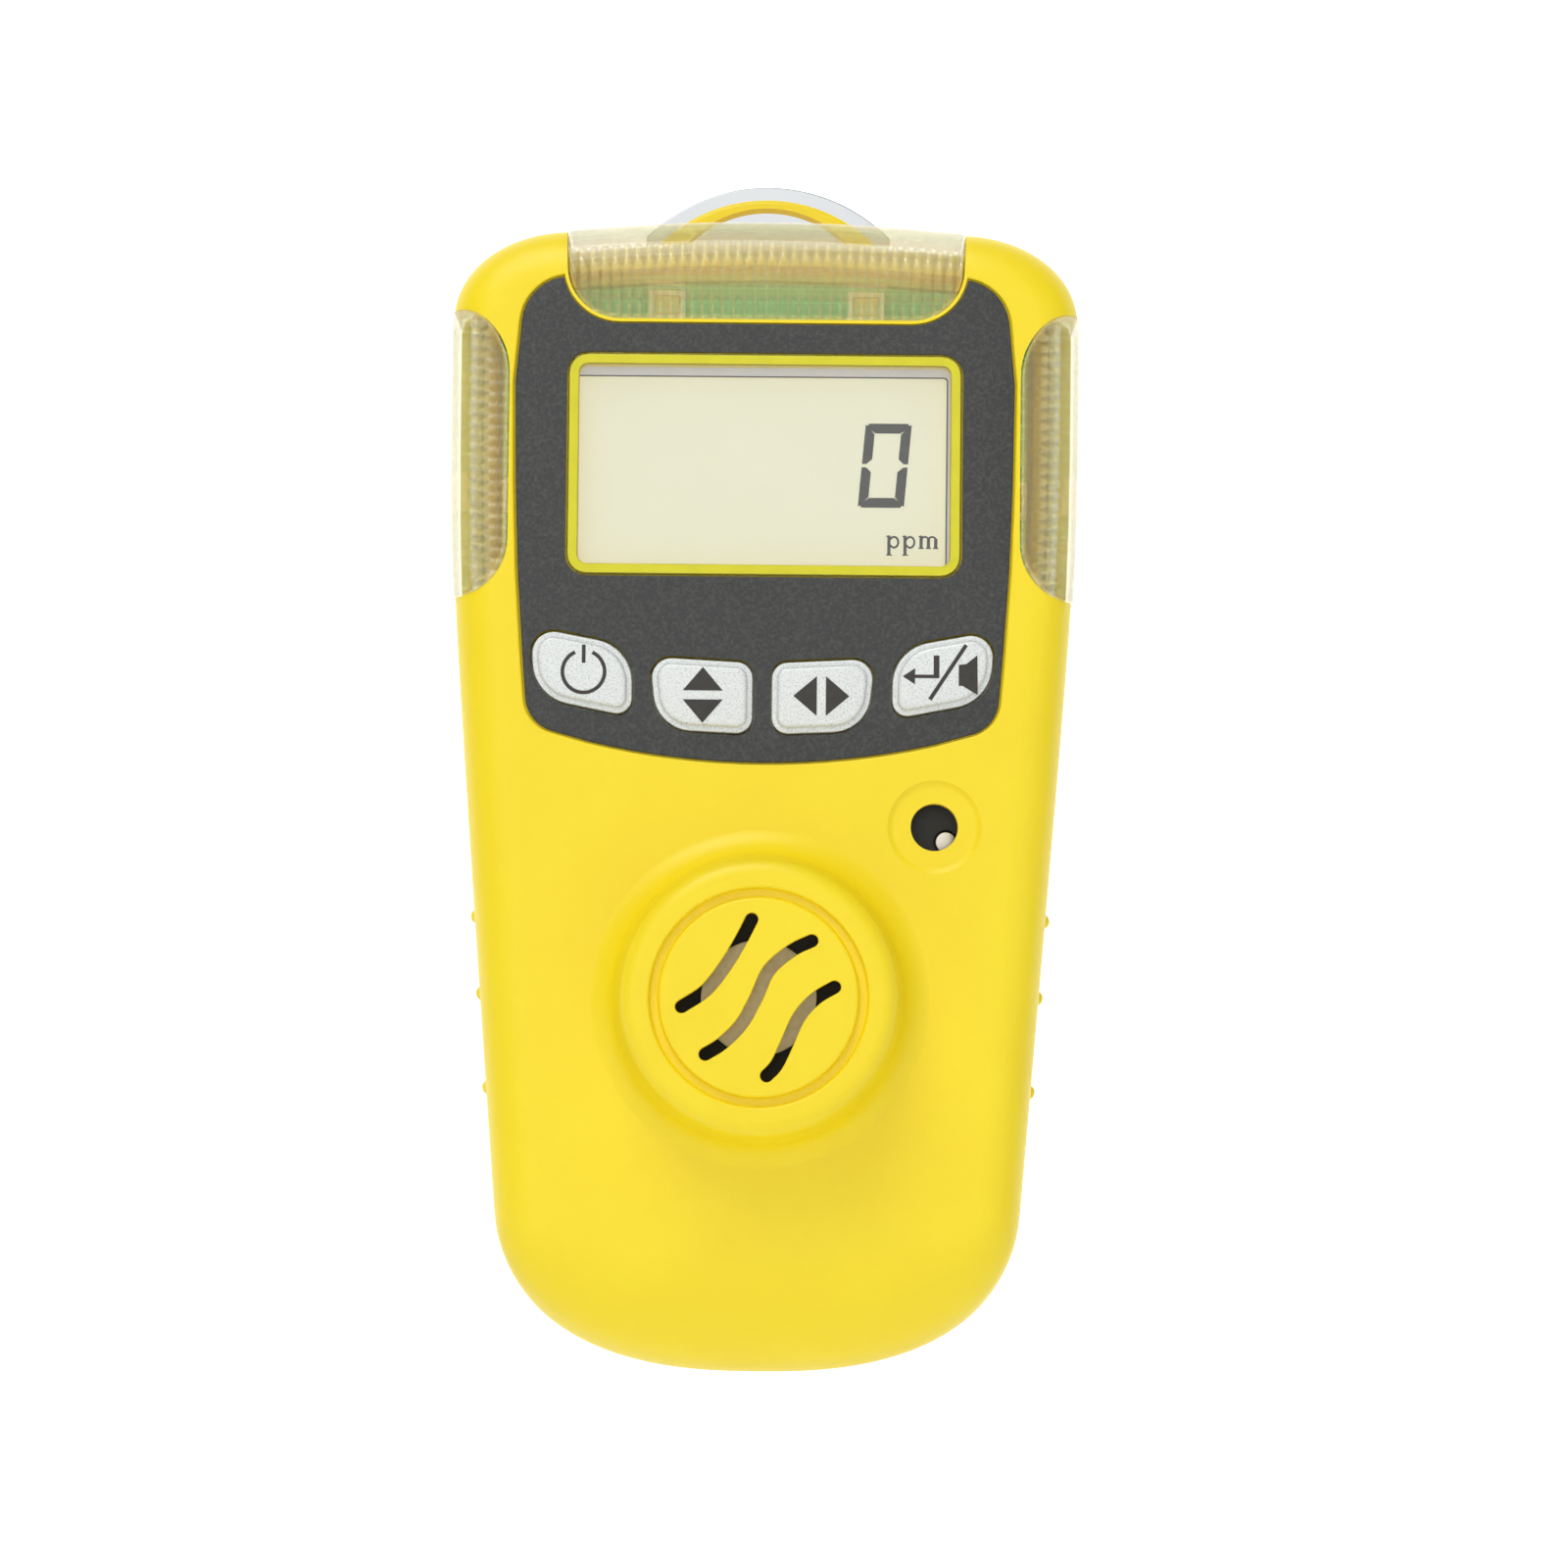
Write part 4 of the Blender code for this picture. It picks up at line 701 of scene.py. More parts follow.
def satin_moulded_abs(colours):
    """Moulded ABS: a spark-eroded mould leaves a fine satin grain that spreads the highlights."""
    made, tree, shader, place = surface("satin_moulded_abs", IOR=1.53, Subsurface_Weight=0.06)
    shader.inputs["Subsurface Radius"].default_value = (0.0012, 0.0009, 0.0002)
    mottle(tree, shader, place, 9.0, colours.casing, colours.casing_deep, 0.38, 0.46)
    # The real grain is 0.1 mm, drawn at 0.35 mm so that it shows.
    relief(tree, shader, place, 0.35, 0.006, 0.5)
    return made


def clear_polycarbonate(colours):
    """Clear moulded polycarbonate: glassy, slightly straw-coloured where it is thick, with flow marks."""
    clear = {"Transmission_Weight": 0.8, "Alpha": 0.5, "Base_Color": (*colours.lens, 1)}
    made, tree, shader, place = surface("clear_moulded_polycarbonate", IOR=1.585, **clear)
    flow = add(tree, "ShaderNodeTexNoise", {"Scale": per_metre(3.0), "Detail": 2.0}, {"Vector": place})
    roughen(tree, shader, flow.outputs["Fac"], 0.05, 0.16)
    relief(tree, shader, place, 1.4, 0.02, 0.25)
    return made


def textured_overlay_film(colours):
    """Screen-printed polyester overlay: dark grey with an etched grain that sparkles in small flecks."""
    made, tree, shader, place = surface("textured_polyester_overlay", IOR=1.6)
    # The real texture is 0.08 mm, drawn at 0.28 mm so that it shows.
    mottle(tree, shader, place, 0.28, colours.faceplate, colours.faceplate_fleck, 0.42, 0.62, (0.42, 0.72))
    relief(tree, shader, place, 0.28, 0.02, 0.7)
    return made


def hard_coated_acrylic(colours):
    """Hard-coated acrylic window: clear, with the faint waviness of cast sheet."""
    clear = {"Transmission_Weight": 1.0, "Base_Color": (0.97, 0.98, 0.97, 1)}
    made, tree, shader, place = surface("hard_coated_acrylic", IOR=1.49, **clear)
    haze = add(tree, "ShaderNodeTexNoise", {"Scale": per_metre(6.0)}, {"Vector": place})
    roughen(tree, shader, haze.outputs["Fac"], 0.0, 0.03)
    return made


def screen_printed_border(colours):
    """Screen-printed ink on the window's edge: flat olive yellow with a slight orange-peel."""
    made, tree, shader, place = surface("screen_printed_ink", IOR=1.5)
    deep = tuple(c * 0.93 for c in colours.border)
    mottle(tree, shader, place, 2.0, colours.border, deep, 0.4, 0.5)
    relief(tree, shader, place, 0.4, 0.004, 0.4)
    return made


def silver_painted_rubber(colours):
    """Silicone keys sprayed with silver paint: pale, with fine metallic flakes."""
    made, tree, shader, place = surface("silver_painted_silicone", IOR=1.45, Metallic=0.15, Coat_Weight=0.15)
    # Flakes are about 0.03 mm, drawn at 0.16 mm so that they show.
    mottle(tree, shader, place, 0.16, colours.key_fleck, colours.key, 0.32, 0.48, (0.3, 0.52))
    relief(tree, shader, place, 0.16, 0.006, 0.5)
    return made


def symbol_ink(colours):
    """Pad-printed ink: near black, a little glossier than the paint under it."""
    made, tree, shader, place = surface("pad_printed_ink", IOR=1.5)
    mottle(tree, shader, place, 0.5, colours.ink, tuple(c * 0.8 for c in colours.ink), 0.35, 0.5)
    return made


def reflective_polariser(colours):
    """Reflective display film: warm cream with a soft cloudiness, and a faint painted glow in its own colour
    that stands in for light the window holds back.
    """
    made, tree, shader, place = surface("reflective_polariser_film", IOR=1.5, Emission_Strength=0.42)
    # Painted glow: the film gives off its own cream colour to brighten it behind the window.
    shader.inputs["Emission Color"].default_value = (*colours.lcd, 1)
    deep = tuple(c * 0.965 for c in colours.lcd)
    mottle(tree, shader, place, 7.0, colours.lcd, deep, 0.3, 0.4)
    return made


def liquid_crystal_segment(colours):
    """A switched-on display segment: dark warm grey, edges crisp."""
    made, tree, shader, place = surface("liquid_crystal_segment", IOR=1.5)
    mottle(tree, shader, place, 1.0, linear("3B3A36"), linear("45443F"), 0.35, 0.45)
    return made


def float_glass(colours):
    """The bare ledge of the display glass: its pale violet-grey is a painted reflection, and its faint glow
    is painted light.
    """
    made, tree, shader, place = surface("display_float_glass", IOR=1.52, Emission_Strength=0.3)
    # Painted light: the ledge glows faintly in the pale violet-grey of the reflection it stands for.
    shader.inputs["Emission Color"].default_value = (*linear("D3D2D9"), 1)
    mottle(tree, shader, place, 4.0, linear("D3D2D9"), linear("C5C4CE"), 0.12, 0.2)
    return made


def solder_mask(colours):
    """Glass-fibre board under green solder mask: glossy, with copper tracks showing as a paler grid."""
    made, tree, shader, place = surface("green_solder_mask", IOR=1.55, Coat_Weight=0.4)
    # Tracks are 0.24 mm wide at a 1.3 mm pitch. The sizes below are in units of 10 mm.
    grid = {
        "Scale": per_metre(10.0),
        "Mortar Size": 0.012,
        "Brick Width": 0.7,
        "Row Height": 0.13,
        "Color1": (*colours.board, 1),
        "Color2": (*(c * 0.86 for c in colours.board), 1),
        "Mortar": (*(min(1, c * 1.5 + 0.02) for c in colours.board), 1),
    }
    upright = add(tree, "ShaderNodeMapping", {"Rotation": (pi / 2, 0, 0)}, {"Vector": place}).outputs[0]
    tracks = add(tree, "ShaderNodeTexBrick", grid, {"Vector": upright})
    tree.links.new(tracks.outputs["Color"], shader.inputs["Base Color"])
    roughen(tree, shader, tracks.outputs["Fac"], 0.25, 0.45)
    return made


def plain_moulding(name, first, second, rough, grain_mm, ior=1.5, patch_mm=5.0, depth_mm=0.008):
    """A small moulded or cut part: two near colours in soft patches under a fine grain."""
    made, tree, shader, place = surface(name, IOR=ior)
    mottle(tree, shader, place, patch_mm, linear(first), linear(second), rough, rough + 0.1)
    relief(tree, shader, place, grain_mm, depth_mm, 0.5)
    return made


def plated_metal(name, first, second, rough, brush_mm, depth_mm=0.002, strength=0.3):
    """Plated metal: fine lines from the polishing wheel run along Z, with faint cloudy stains."""
    made, tree, shader, place = surface(name, Metallic=1.0)
    mottle(tree, shader, place, 6.0, linear(first), linear(second), rough, rough + 0.03)
    along = add(tree, "ShaderNodeMapping", {"Scale": (1.0, 1.0, 0.04)}, {"Vector": place}).outputs[0]
    relief(tree, shader, along, brush_mm, depth_mm, strength)
    return made


def led_phosphor(colours):
    """LED phosphor under clear resin: warm yellow, wet-looking."""
    made, tree, shader, place = surface("led_phosphor_resin", IOR=1.53, Coat_Weight=0.8)
    mottle(tree, shader, place, 0.4, linear("F2DFA0"), linear("E3C36A"), 0.12, 0.25)
    return made


FINISHES = {
    "casing": satin_moulded_abs,
    "lens": clear_polycarbonate,
    "faceplate": textured_overlay_film,
    "window": hard_coated_acrylic,
    "border": screen_printed_border,
    "keys": silver_painted_rubber,
    "ink": symbol_ink,
    "polariser": reflective_polariser,
    "segment": liquid_crystal_segment,
    "glass": float_glass,
    "board": solder_mask,
    "led": led_phosphor,
}
# Name, two colours, roughness, grain in mm; then IOR, patches and grain depth in mm where they differ.
MOULDINGS = {
    # Nylon: milky and a little waxy.
    "white_plastic": ("white_moulded_nylon", "F0EFEA", "E6E4DC", 0.42, 0.4, 1.53),
    # Glass-filled plastic: black with a dull grain.
    "black_plastic": ("black_glass_filled_nylon", "1A1A1B", "242425", 0.45, 0.3, 1.53),
    # Silicone: soft black that hardly shines.
    "rubber": ("black_silicone_rubber", "222222", "2C2C2B", 0.78, 0.5, 1.41),
    # Silicone cord: amber with a soft bloom.
    "amber_seal": ("amber_silicone_cord", "E0A93C", "D39A30", 0.5, 0.5, 1.41),
    # Porous PTFE pressed from grains: warm, chalky.
    "filter": ("porous_ptfe_disc", "F2E8CC", "E4D6B0", 0.8, 0.3, 1.35, 0.6, 0.03),
    # Cell housing: dark moulded plastic round the porous disc.
    "cell_housing": ("sensor_cell_housing", "2A2A2A", "363634", 0.5, 0.4),
    # Heat-shrink wrap: glossy blue, softly wrinkled.
    "battery_wrap": ("pvc_heat_shrink_wrap", "2F5D8C", "264F7B", 0.25, 3.0, 1.53, 8, 0.06),
    # Closed-cell foam: grey with open pores on its cut faces.
    "foam": ("closed_cell_foam", "6E7072", "5A5C5E", 0.9, 0.5, 1.4, 0.7, 0.08),
    # Polyester label: silver-grey and slightly pearly.
    "label": ("polyester_label", "D9DBD9", "CDCFCE", 0.35, 0.4, 1.6),
    # Wire insulation: glossy, faintly uneven from the die.
    "red_wire": ("red_pvc_insulation", "B3261E", "A32019", 0.35, 0.8, 1.53),
    "black_wire": ("black_pvc_insulation", "1C1C1C", "262626", 0.35, 0.8, 1.53),
}
# Name, two colours, roughness, line spacing in mm; then line depth in mm and strength where they differ.
METALS = {
    # Chromed spring steel: bright and mirror-like, with hairline polishing marks.
    "chrome": ("chromed_spring_steel", "CFD2D3", "CBCED0", 0.07, 0.25, 0.001, 0.2),
    # Nickel plate: softer and greyer than chrome, faintly brushed.
    "steel": ("nickel_plated_steel", "C3C5C6", "ADB0B2", 0.22, 0.2),
    # Gold flash: yellow metal with a satin stamping grain.
    "gold": ("gold_flashed_contact", "DCB355", "C99B3C", 0.22, 0.15),
    # Nickel-silver sounder disc: pale and satin.
    "diaphragm": ("nickel_silver_diaphragm", "E9E4D6", "D8D2C2", 0.35, 0.2),
}
MADE = {}


def finish(name):
    """The material of this name, made once."""
    if name not in MADE:
        if name in MOULDINGS:
            MADE[name] = plain_moulding(*MOULDINGS[name])
        elif name in METALS:
            MADE[name] = plated_metal(*METALS[name])
        else:
            MADE[name] = FINISHES[name](bpy.context.scene.gas_detector_colours)
    return MADE[name]


# ---------------------------------------------------------------- pieces


class GASDETECTOR_OT_studio(bpy.types.Operator):
    """Adds the pale floor, the soft lights and the camera"""

    bl_idname = "gasdetector.studio"
    bl_label = "Studio"

    def execute(self, context):
        studio = context.scene.gas_detector_studio
        self.sweep(studio)
        self.lights(studio, context)
        self.camera(studio, context)
        return {"FINISHED"}

    def sweep(self, studio):
        """A white paper sweep: a floor below the detector that curves up behind it."""
        floor_z, wall_y, bend, half, near_y, wall_top = -0.14, 1.1, 0.5, 3.0, -2.0, 3.0
        profile = [(near_y, floor_z), (wall_y - bend, floor_z)]
        profile += [(wall_y - bend + bend * sin(t), floor_z + bend * (1 - cos(t))) for t in steps_in(16)[1:]]
        profile.append((wall_y, wall_top))
        bm = bmesh.new()
        rows = [[bm.verts.new((x, y, z)) for y, z in profile] for x in (-half, half)]
        for i in range(len(profile) - 1):
            bm.faces.new((rows[0][i], rows[1][i], rows[1][i + 1], rows[0][i + 1]))
        mesh = bpy.data.meshes.new("paper_sweep")
        bm.to_mesh(mesh)
        bm.free()
        mesh.shade_smooth()
        # Matt paper: even white, with the far end glowing so that it stays white from the front.
        made, tree, shader, place = surface("matt_white_paper")
        shader.inputs["Emission Color"].default_value = (1, 1, 1, 1)
        mottle(tree, shader, place, 40.0, linear("F6F6F4"), linear("F2F2F0"), 0.8, 0.9)
        away = add(tree, "ShaderNodeSeparateXYZ", (), {"Vector": place}).outputs["Y"]
        fade = {"From Min": 0.1, "From Max": 0.55, "To Min": 0.05, "To Max": studio.backdrop}
        glow = add(tree, "ShaderNodeMapRange", fade, {"Value": away}).outputs["Result"]
        tree.links.new(glow, shader.inputs["Emission Strength"])
        mesh.materials.append(made)
        sweep = bpy.data.objects.new("paper_sweep", mesh)
        bpy.context.scene.collection.objects.link(sweep)

    def lights(self, studio, context):
        # Each light's name, place and size in metres, and power.
        for name, at, size, power in (
            ("key_light", (-0.25, -0.6, 0.95), 0.7, studio.key),
            ("front_light", (-0.25, -1.3, 0.45), 1.2, studio.front),
            ("fill_light", (0.6, -0.7, 0.0), 0.6, studio.fill),
        ):
            light = bpy.data.lights.new(name, "AREA")
            light.energy = power
            light.size = size
            lamp = bpy.data.objects.new(name, light)
            lamp.location = at
            lamp.rotation_euler = Vector(at).to_track_quat("Z", "Y").to_euler()
            context.scene.collection.objects.link(lamp)
        world = bpy.data.worlds.new("room")
        world.use_nodes = True
        world.node_tree.nodes["Background"].inputs["Color"].default_value = (1, 1, 1, 1)
        world.node_tree.nodes["Background"].inputs["Strength"].default_value = studio.world
        context.scene.world = world
        context.scene.view_settings.view_transform = "Standard"

    def camera(self, studio, context):
        lens = bpy.data.cameras.new("camera")
        lens.sensor_width = CAMERA_SENSOR
        lens.lens = studio.lens
        camera = bpy.data.objects.new("camera", lens)
        camera.location = CAMERA_AT
        ahead = Vector((0, cos(CAMERA_RISE), sin(CAMERA_RISE)))
        camera.rotation_mode = "QUATERNION"
        camera.rotation_quaternion = ahead.to_track_quat("-Z", "Y") @ Quaternion((0, 0, 1), CAMERA_ROLL)
        context.scene.collection.objects.link(camera)
        context.scene.camera = camera


def grip_ridges(front, back):
    """Rounded grip ridges on both side walls."""
    made = []
    for z in RIDGE_Z:
        for side in (-1, 1):
            made.append(capsule((side * (half_width(z) - RIDGE_SUNK), z), RIDGE_RADIUS, front, back))
    return made


def screw_posts(radius, front, back):
    return [drum(centre_of(screw), radius, front, back, steps=36) for screw in CASE_SCREWS]


class GASDETECTOR_OT_front_shell(bpy.types.Operator):
    """Builds the front shell with its sensor boss, grille and openings"""

    bl_idname = "gasdetector.front_shell"
    bl_label = "Front Shell"

    def execute(self, context):
        shape = context.scene.gas_detector_shape
        edge = shape.edge / MM
        boss = turned(self.boss_profile(), (0.0, SENSOR_Z), shape.round_steps)
        standoffs = [drum(at, STANDOFF_RADIUS, INNER_Y - 1, STANDOFF_END) for at in STANDOFFS]
        ridges = grip_ridges(FRONT_Y + FRONT_EDGE["side"] + 1.5, -RIDGE_START)
        joins = [boss, *standoffs, *screw_posts(POST_RADIUS, INNER_Y - 1, -GAP / 2), *ridges]
        lip = prism(grown(top_lens_outline(), PLATE_LIP - FIT), FRONT_Y - 2, POCKET_Y + 1)
        pocket = carve(mouth(grown(plate_outline(), FIT), FRONT_Y, POCKET_Y, edge), cuts=[lip])
        cuts = [pocket, prism(window_outline(WINDOW_SEAT), FRONT_Y - 1, INNER_Y + 1)]
        for corners, side in KEYS.values():
            cuts.append(prism(grown(key_outline(corners, side), KEY_FIT), FRONT_Y - 1, INNER_Y + 1))
        for outline in (top_lens_outline(), side_lens_outline(), mirrored(side_lens_outline())):
            cuts.append(prism(grown(outline, FIT), FRONT_Y - 2, 2.0))
        cuts.append(drum((0.0, SENSOR_Z), BOSS_BORE, BORE_Y, INNER_Y + 1, steps=96))
        cuts.append(turned(self.port_profile(), (PORT_X, PORT_Z), 64))
        for path in (SLOT_A, SLOT_B, SLOT_C):
            line = curve_through([(x, SENSOR_Z + z) for x, z in path])
            cuts.append(mouth(strip(line, SLOT_WIDTH, 7), BOSS_Y, BORE_Y + 1, edge / 2))
        shell = carve(cup(-1, FRONT_DEPTH, FRONT_EDGE), joins, cuts)
        show("front_shell_moulding", shell, finish("casing"), replaces=["front_shell"], even=True)
        return {"FINISHED"}

    def boss_profile(self):
        """Grille disc, ring groove, rounded rim, and a cone that sweeps out into the face."""
        bore, rim = BOSS_BORE, BOSS_RIM
        corners = (
            (0.0, BOSS_Y, 0),
            (bore - 1.4, BOSS_Y, 0.3),
            (bore - 1.35, BOSS_Y + 0.8, 0.2),
            (bore - 0.55, BOSS_Y + 0.8, 0.2),
            (bore - 0.5, BOSS_Y, 0.3),
            (rim - 0.1, BOSS_Y, 1.5),
            (rim + 1.2, FRONT_Y + 0.02, 3.3),
            (rim + 4.9, FRONT_Y + 0.12, 0),
            (rim + 4.9, FRONT_Y + 1.0, 0),
            (0.0, FRONT_Y + 1.0, 0),
        )
        return softened(corners, 8, closed=False)

    def port_profile(self):
        """A shallow soft dish round the sound port."""
        corners = (
            (0.0, FRONT_Y - 1.0, 0),
            (DISH_RADIUS, FRONT_Y - 1.0, 0),
            (DISH_RADIUS - 0.05, FRONT_Y + 0.05, 0),
            (DISH_RADIUS - 0.5, FRONT_Y + DISH_DEPTH, 0.5),
            (PORT_RADIUS, FRONT_Y + DISH_DEPTH, 0),
            (PORT_RADIUS, INNER_Y + 1.0, 0),
            (0.0, INNER_Y + 1.0, 0),
        )
        return softened(corners, 5, closed=False)


class GASDETECTOR_OT_rear_shell(bpy.types.Operator):
    """Builds the rear shell with its lanyard loop, notch, screw seats and recesses"""

    bl_idname = "gasdetector.rear_shell"
    bl_label = "Rear Shell"

    def execute(self, context):
        edge = context.scene.gas_detector_shape.edge / MM
        back = -REAR_DEPTH
        pad_half = LOOP_NOTCH_HALF + WALL
        pad = prism(rectangle(pad_half, LOOP_FLOOR - WALL, LOOP_FLOOR + 0.8, 0.3), 3.0, REAR_DEPTH - 4.0)
        near, far = LOOP_Y
        radius, centre = LOOP_OUTER
        loop = pillow(ring_outline(0.0, centre, radius, 160), near, far, 0.5)
        above = prism(rectangle(radius + 1, LOOP_FLOOR, centre + radius + 1, 0.1), near - 1, far + 1)
        inner = prism(ring_outline(0.0, LOOP_INNER[1], LOOP_INNER[0], 120), near - 1, far + 1)
        loop = carve(loop, cuts=[inner], keeps=[above])
        boss = drum((0.0, CLIP_SCREW_Z), 3.2, 7.0, REAR_INNER_Y + 1)
        ridges = grip_ridges(RIDGE_START, REAR_DEPTH - REAR_EDGE["side"] - 1.5)
        joins = [boss, pad, *screw_posts(POST_RADIUS, GAP / 2, REAR_INNER_Y + 1), *ridges]
        notch = prism(rectangle(LOOP_NOTCH_HALF, LOOP_FLOOR, HEIGHT + 2, 0.3), 4.0, REAR_DEPTH + 1)
        shell = carve(cup(1, REAR_DEPTH, REAR_EDGE), joins, [notch])
        cuts = screw_posts(SCREW_RADIUS + FIT, -1.0, REAR_DEPTH + 1)
        cuts += screw_posts(SCREW_HEAD + GAP, REAR_DEPTH - SCREW_SEAT, REAR_DEPTH + 1)
        cuts.append(turn_round(mouth(mirrored(rating_outline()), back, back + POCKET, edge)))
        cuts.append(drum((0.0, CLIP_SCREW_Z), SCREW_RADIUS + FIT, 8.0, REAR_DEPTH + 1))
        for side in (-1, 1):
            at = (side * CONTACT_X, CONTACT_Z)
            cuts.append(drum(at, CONTACT_STEM + GAP, REAR_INNER_Y - 1, REAR_DEPTH + 1))
            cuts.append(drum(at, CONTACT_HEAD + GAP, REAR_DEPTH - CONTACT_SEAT, REAR_DEPTH + 1))
        shell = carve(shell, [loop], cuts)
        show("rear_shell_moulding", shell, finish("casing"), replaces=["rear_shell"], even=True)
        return {"FINISHED"}


def turn_round(bm):
    """A shape made for the front turned half round about Z, to serve on the back."""
    bmesh.ops.rotate(bm, matrix=Matrix.Rotation(pi, 3, "Z"), verts=bm.verts)
    return bm


class GASDETECTOR_OT_lenses(bpy.types.Operator):
    """Builds the three alarm lenses, smooth outside and fluted inside"""

    bl_idname = "gasdetector.lenses"
    bl_label = "Alarm Lenses"

    def execute(self, context):
        shape = context.scene.gas_detector_shape
        reach = TOP_LENS_HALF + 2.3
        top = [self.top_section(x, shape) for x in self.places(-reach, reach, shape)]
        self.lens("top_lens_moulding", loft(top), top_lens_outline(), "top_alarm_lens")
        span = (SIDE_LENS_BOTTOM - 2.0, SIDE_LENS_TOP + 2.2)
        side = [self.side_section(z, shape) for z in self.places(*span, shape)]
        self.lens("right_lens_moulding", loft(side), side_lens_outline(), "right_alarm_lens")
        side = [[(-x, y, z) for x, y, z in ring] for ring in side]
        self.lens("left_lens_moulding", loft(side), mirrored(side_lens_outline()), "left_alarm_lens")
        return {"FINISHED"}

    def places(self, start, end, shape):
        """Where a lens has its sections, with six to each flute."""
        pitch = shape.flute_pitch / MM
        count = int((end - start) / pitch * 6)
        return [start + (end - start) * k / count for k in range(count + 1)]

    def flute(self, along, shape):
        """How far the inner surface is cut back at a place along the flutes' pitch."""
        return abs(sin(pi * along / (shape.flute_pitch / MM))) * shape.flute_depth / MM

    def section(self, path, inner):
        """A closed section from a path of (point, outward normal) and the depth of its inner side."""
        outer = [at + normal * LENS_PROUD for at, normal in path]
        inside = [at - normal * inner for at, normal in path]
        return [tuple(p) for p in outer + inside[::-1]]

    def top_section(self, x, shape):
        radius, roof = FRONT_EDGE["top"], crown(x)
        up, out = Vector((0, 0, 1)), Vector((0, -1, 0))
        path = [(Vector((x, y, roof)), up) for y in (-GAP / 2, FRONT_Y + radius + 2)]
        for t in steps_in(8):
            normal = up * cos(t) + out * sin(t)
            path.append((Vector((x, FRONT_Y + radius, roof - radius)) + normal * radius, normal))
        path.append((Vector((x, FRONT_Y, TOP_LENS_BOTTOM - 2)), out))
        return self.section(path, LENS_WALL - LENS_PROUD - self.flute(x, shape))

    def side_section(self, z, shape):
        radius, edge = FRONT_EDGE["side"], half_width(z)
        side, out = Vector((1, 0, 0)), Vector((0, -1, 0))
        path = [(Vector((edge, y, z)), side) for y in (-GAP / 2, FRONT_Y + radius + 2)]
        for t in steps_in(8):
            normal = side * cos(t) + out * sin(t)
            path.append((Vector((edge - radius, FRONT_Y + radius, z)) + normal * radius, normal))
        path.append((Vector((SIDE_LENS_INNER - 1.5, FRONT_Y, z)), out))
        return self.section(path, LENS_WALL - LENS_PROUD - self.flute(z, shape))

    def lens(self, name, patch, outline, node):
        form = pillow(outline, FRONT_Y - LENS_PROUD, 2.0, 0.45)
        bm = carve(patch, keeps=[form])
        show(name, bm, finish("lens"), replaces=[node], sharp=50)


class GASDETECTOR_OT_faceplate(bpy.types.Operator):
    """Builds the dark faceplate with its openings"""

    bl_idname = "gasdetector.faceplate"
    bl_label = "Faceplate"

    def execute(self, context):
        bite = prism(grown(top_lens_outline(), PLATE_LIP), FRONT_Y - 1, POCKET_Y + 1)
        cuts = [bite, prism(window_outline(), FRONT_Y - 1, POCKET_Y + 1)]
        for corners, side in KEYS.values():
            cuts.append(prism(grown(key_outline(corners, side), KEY_FIT), FRONT_Y - 1, POCKET_Y + 1))
        plate = pillow(plate_outline(), PLATE_FACE, PLATE_FACE + PLATE_THICKNESS, 0.15)
        plate = carve(plate, cuts=cuts)
        show("faceplate_film", plate, finish("faceplate"), replaces=["faceplate"])
        return {"FINISHED"}


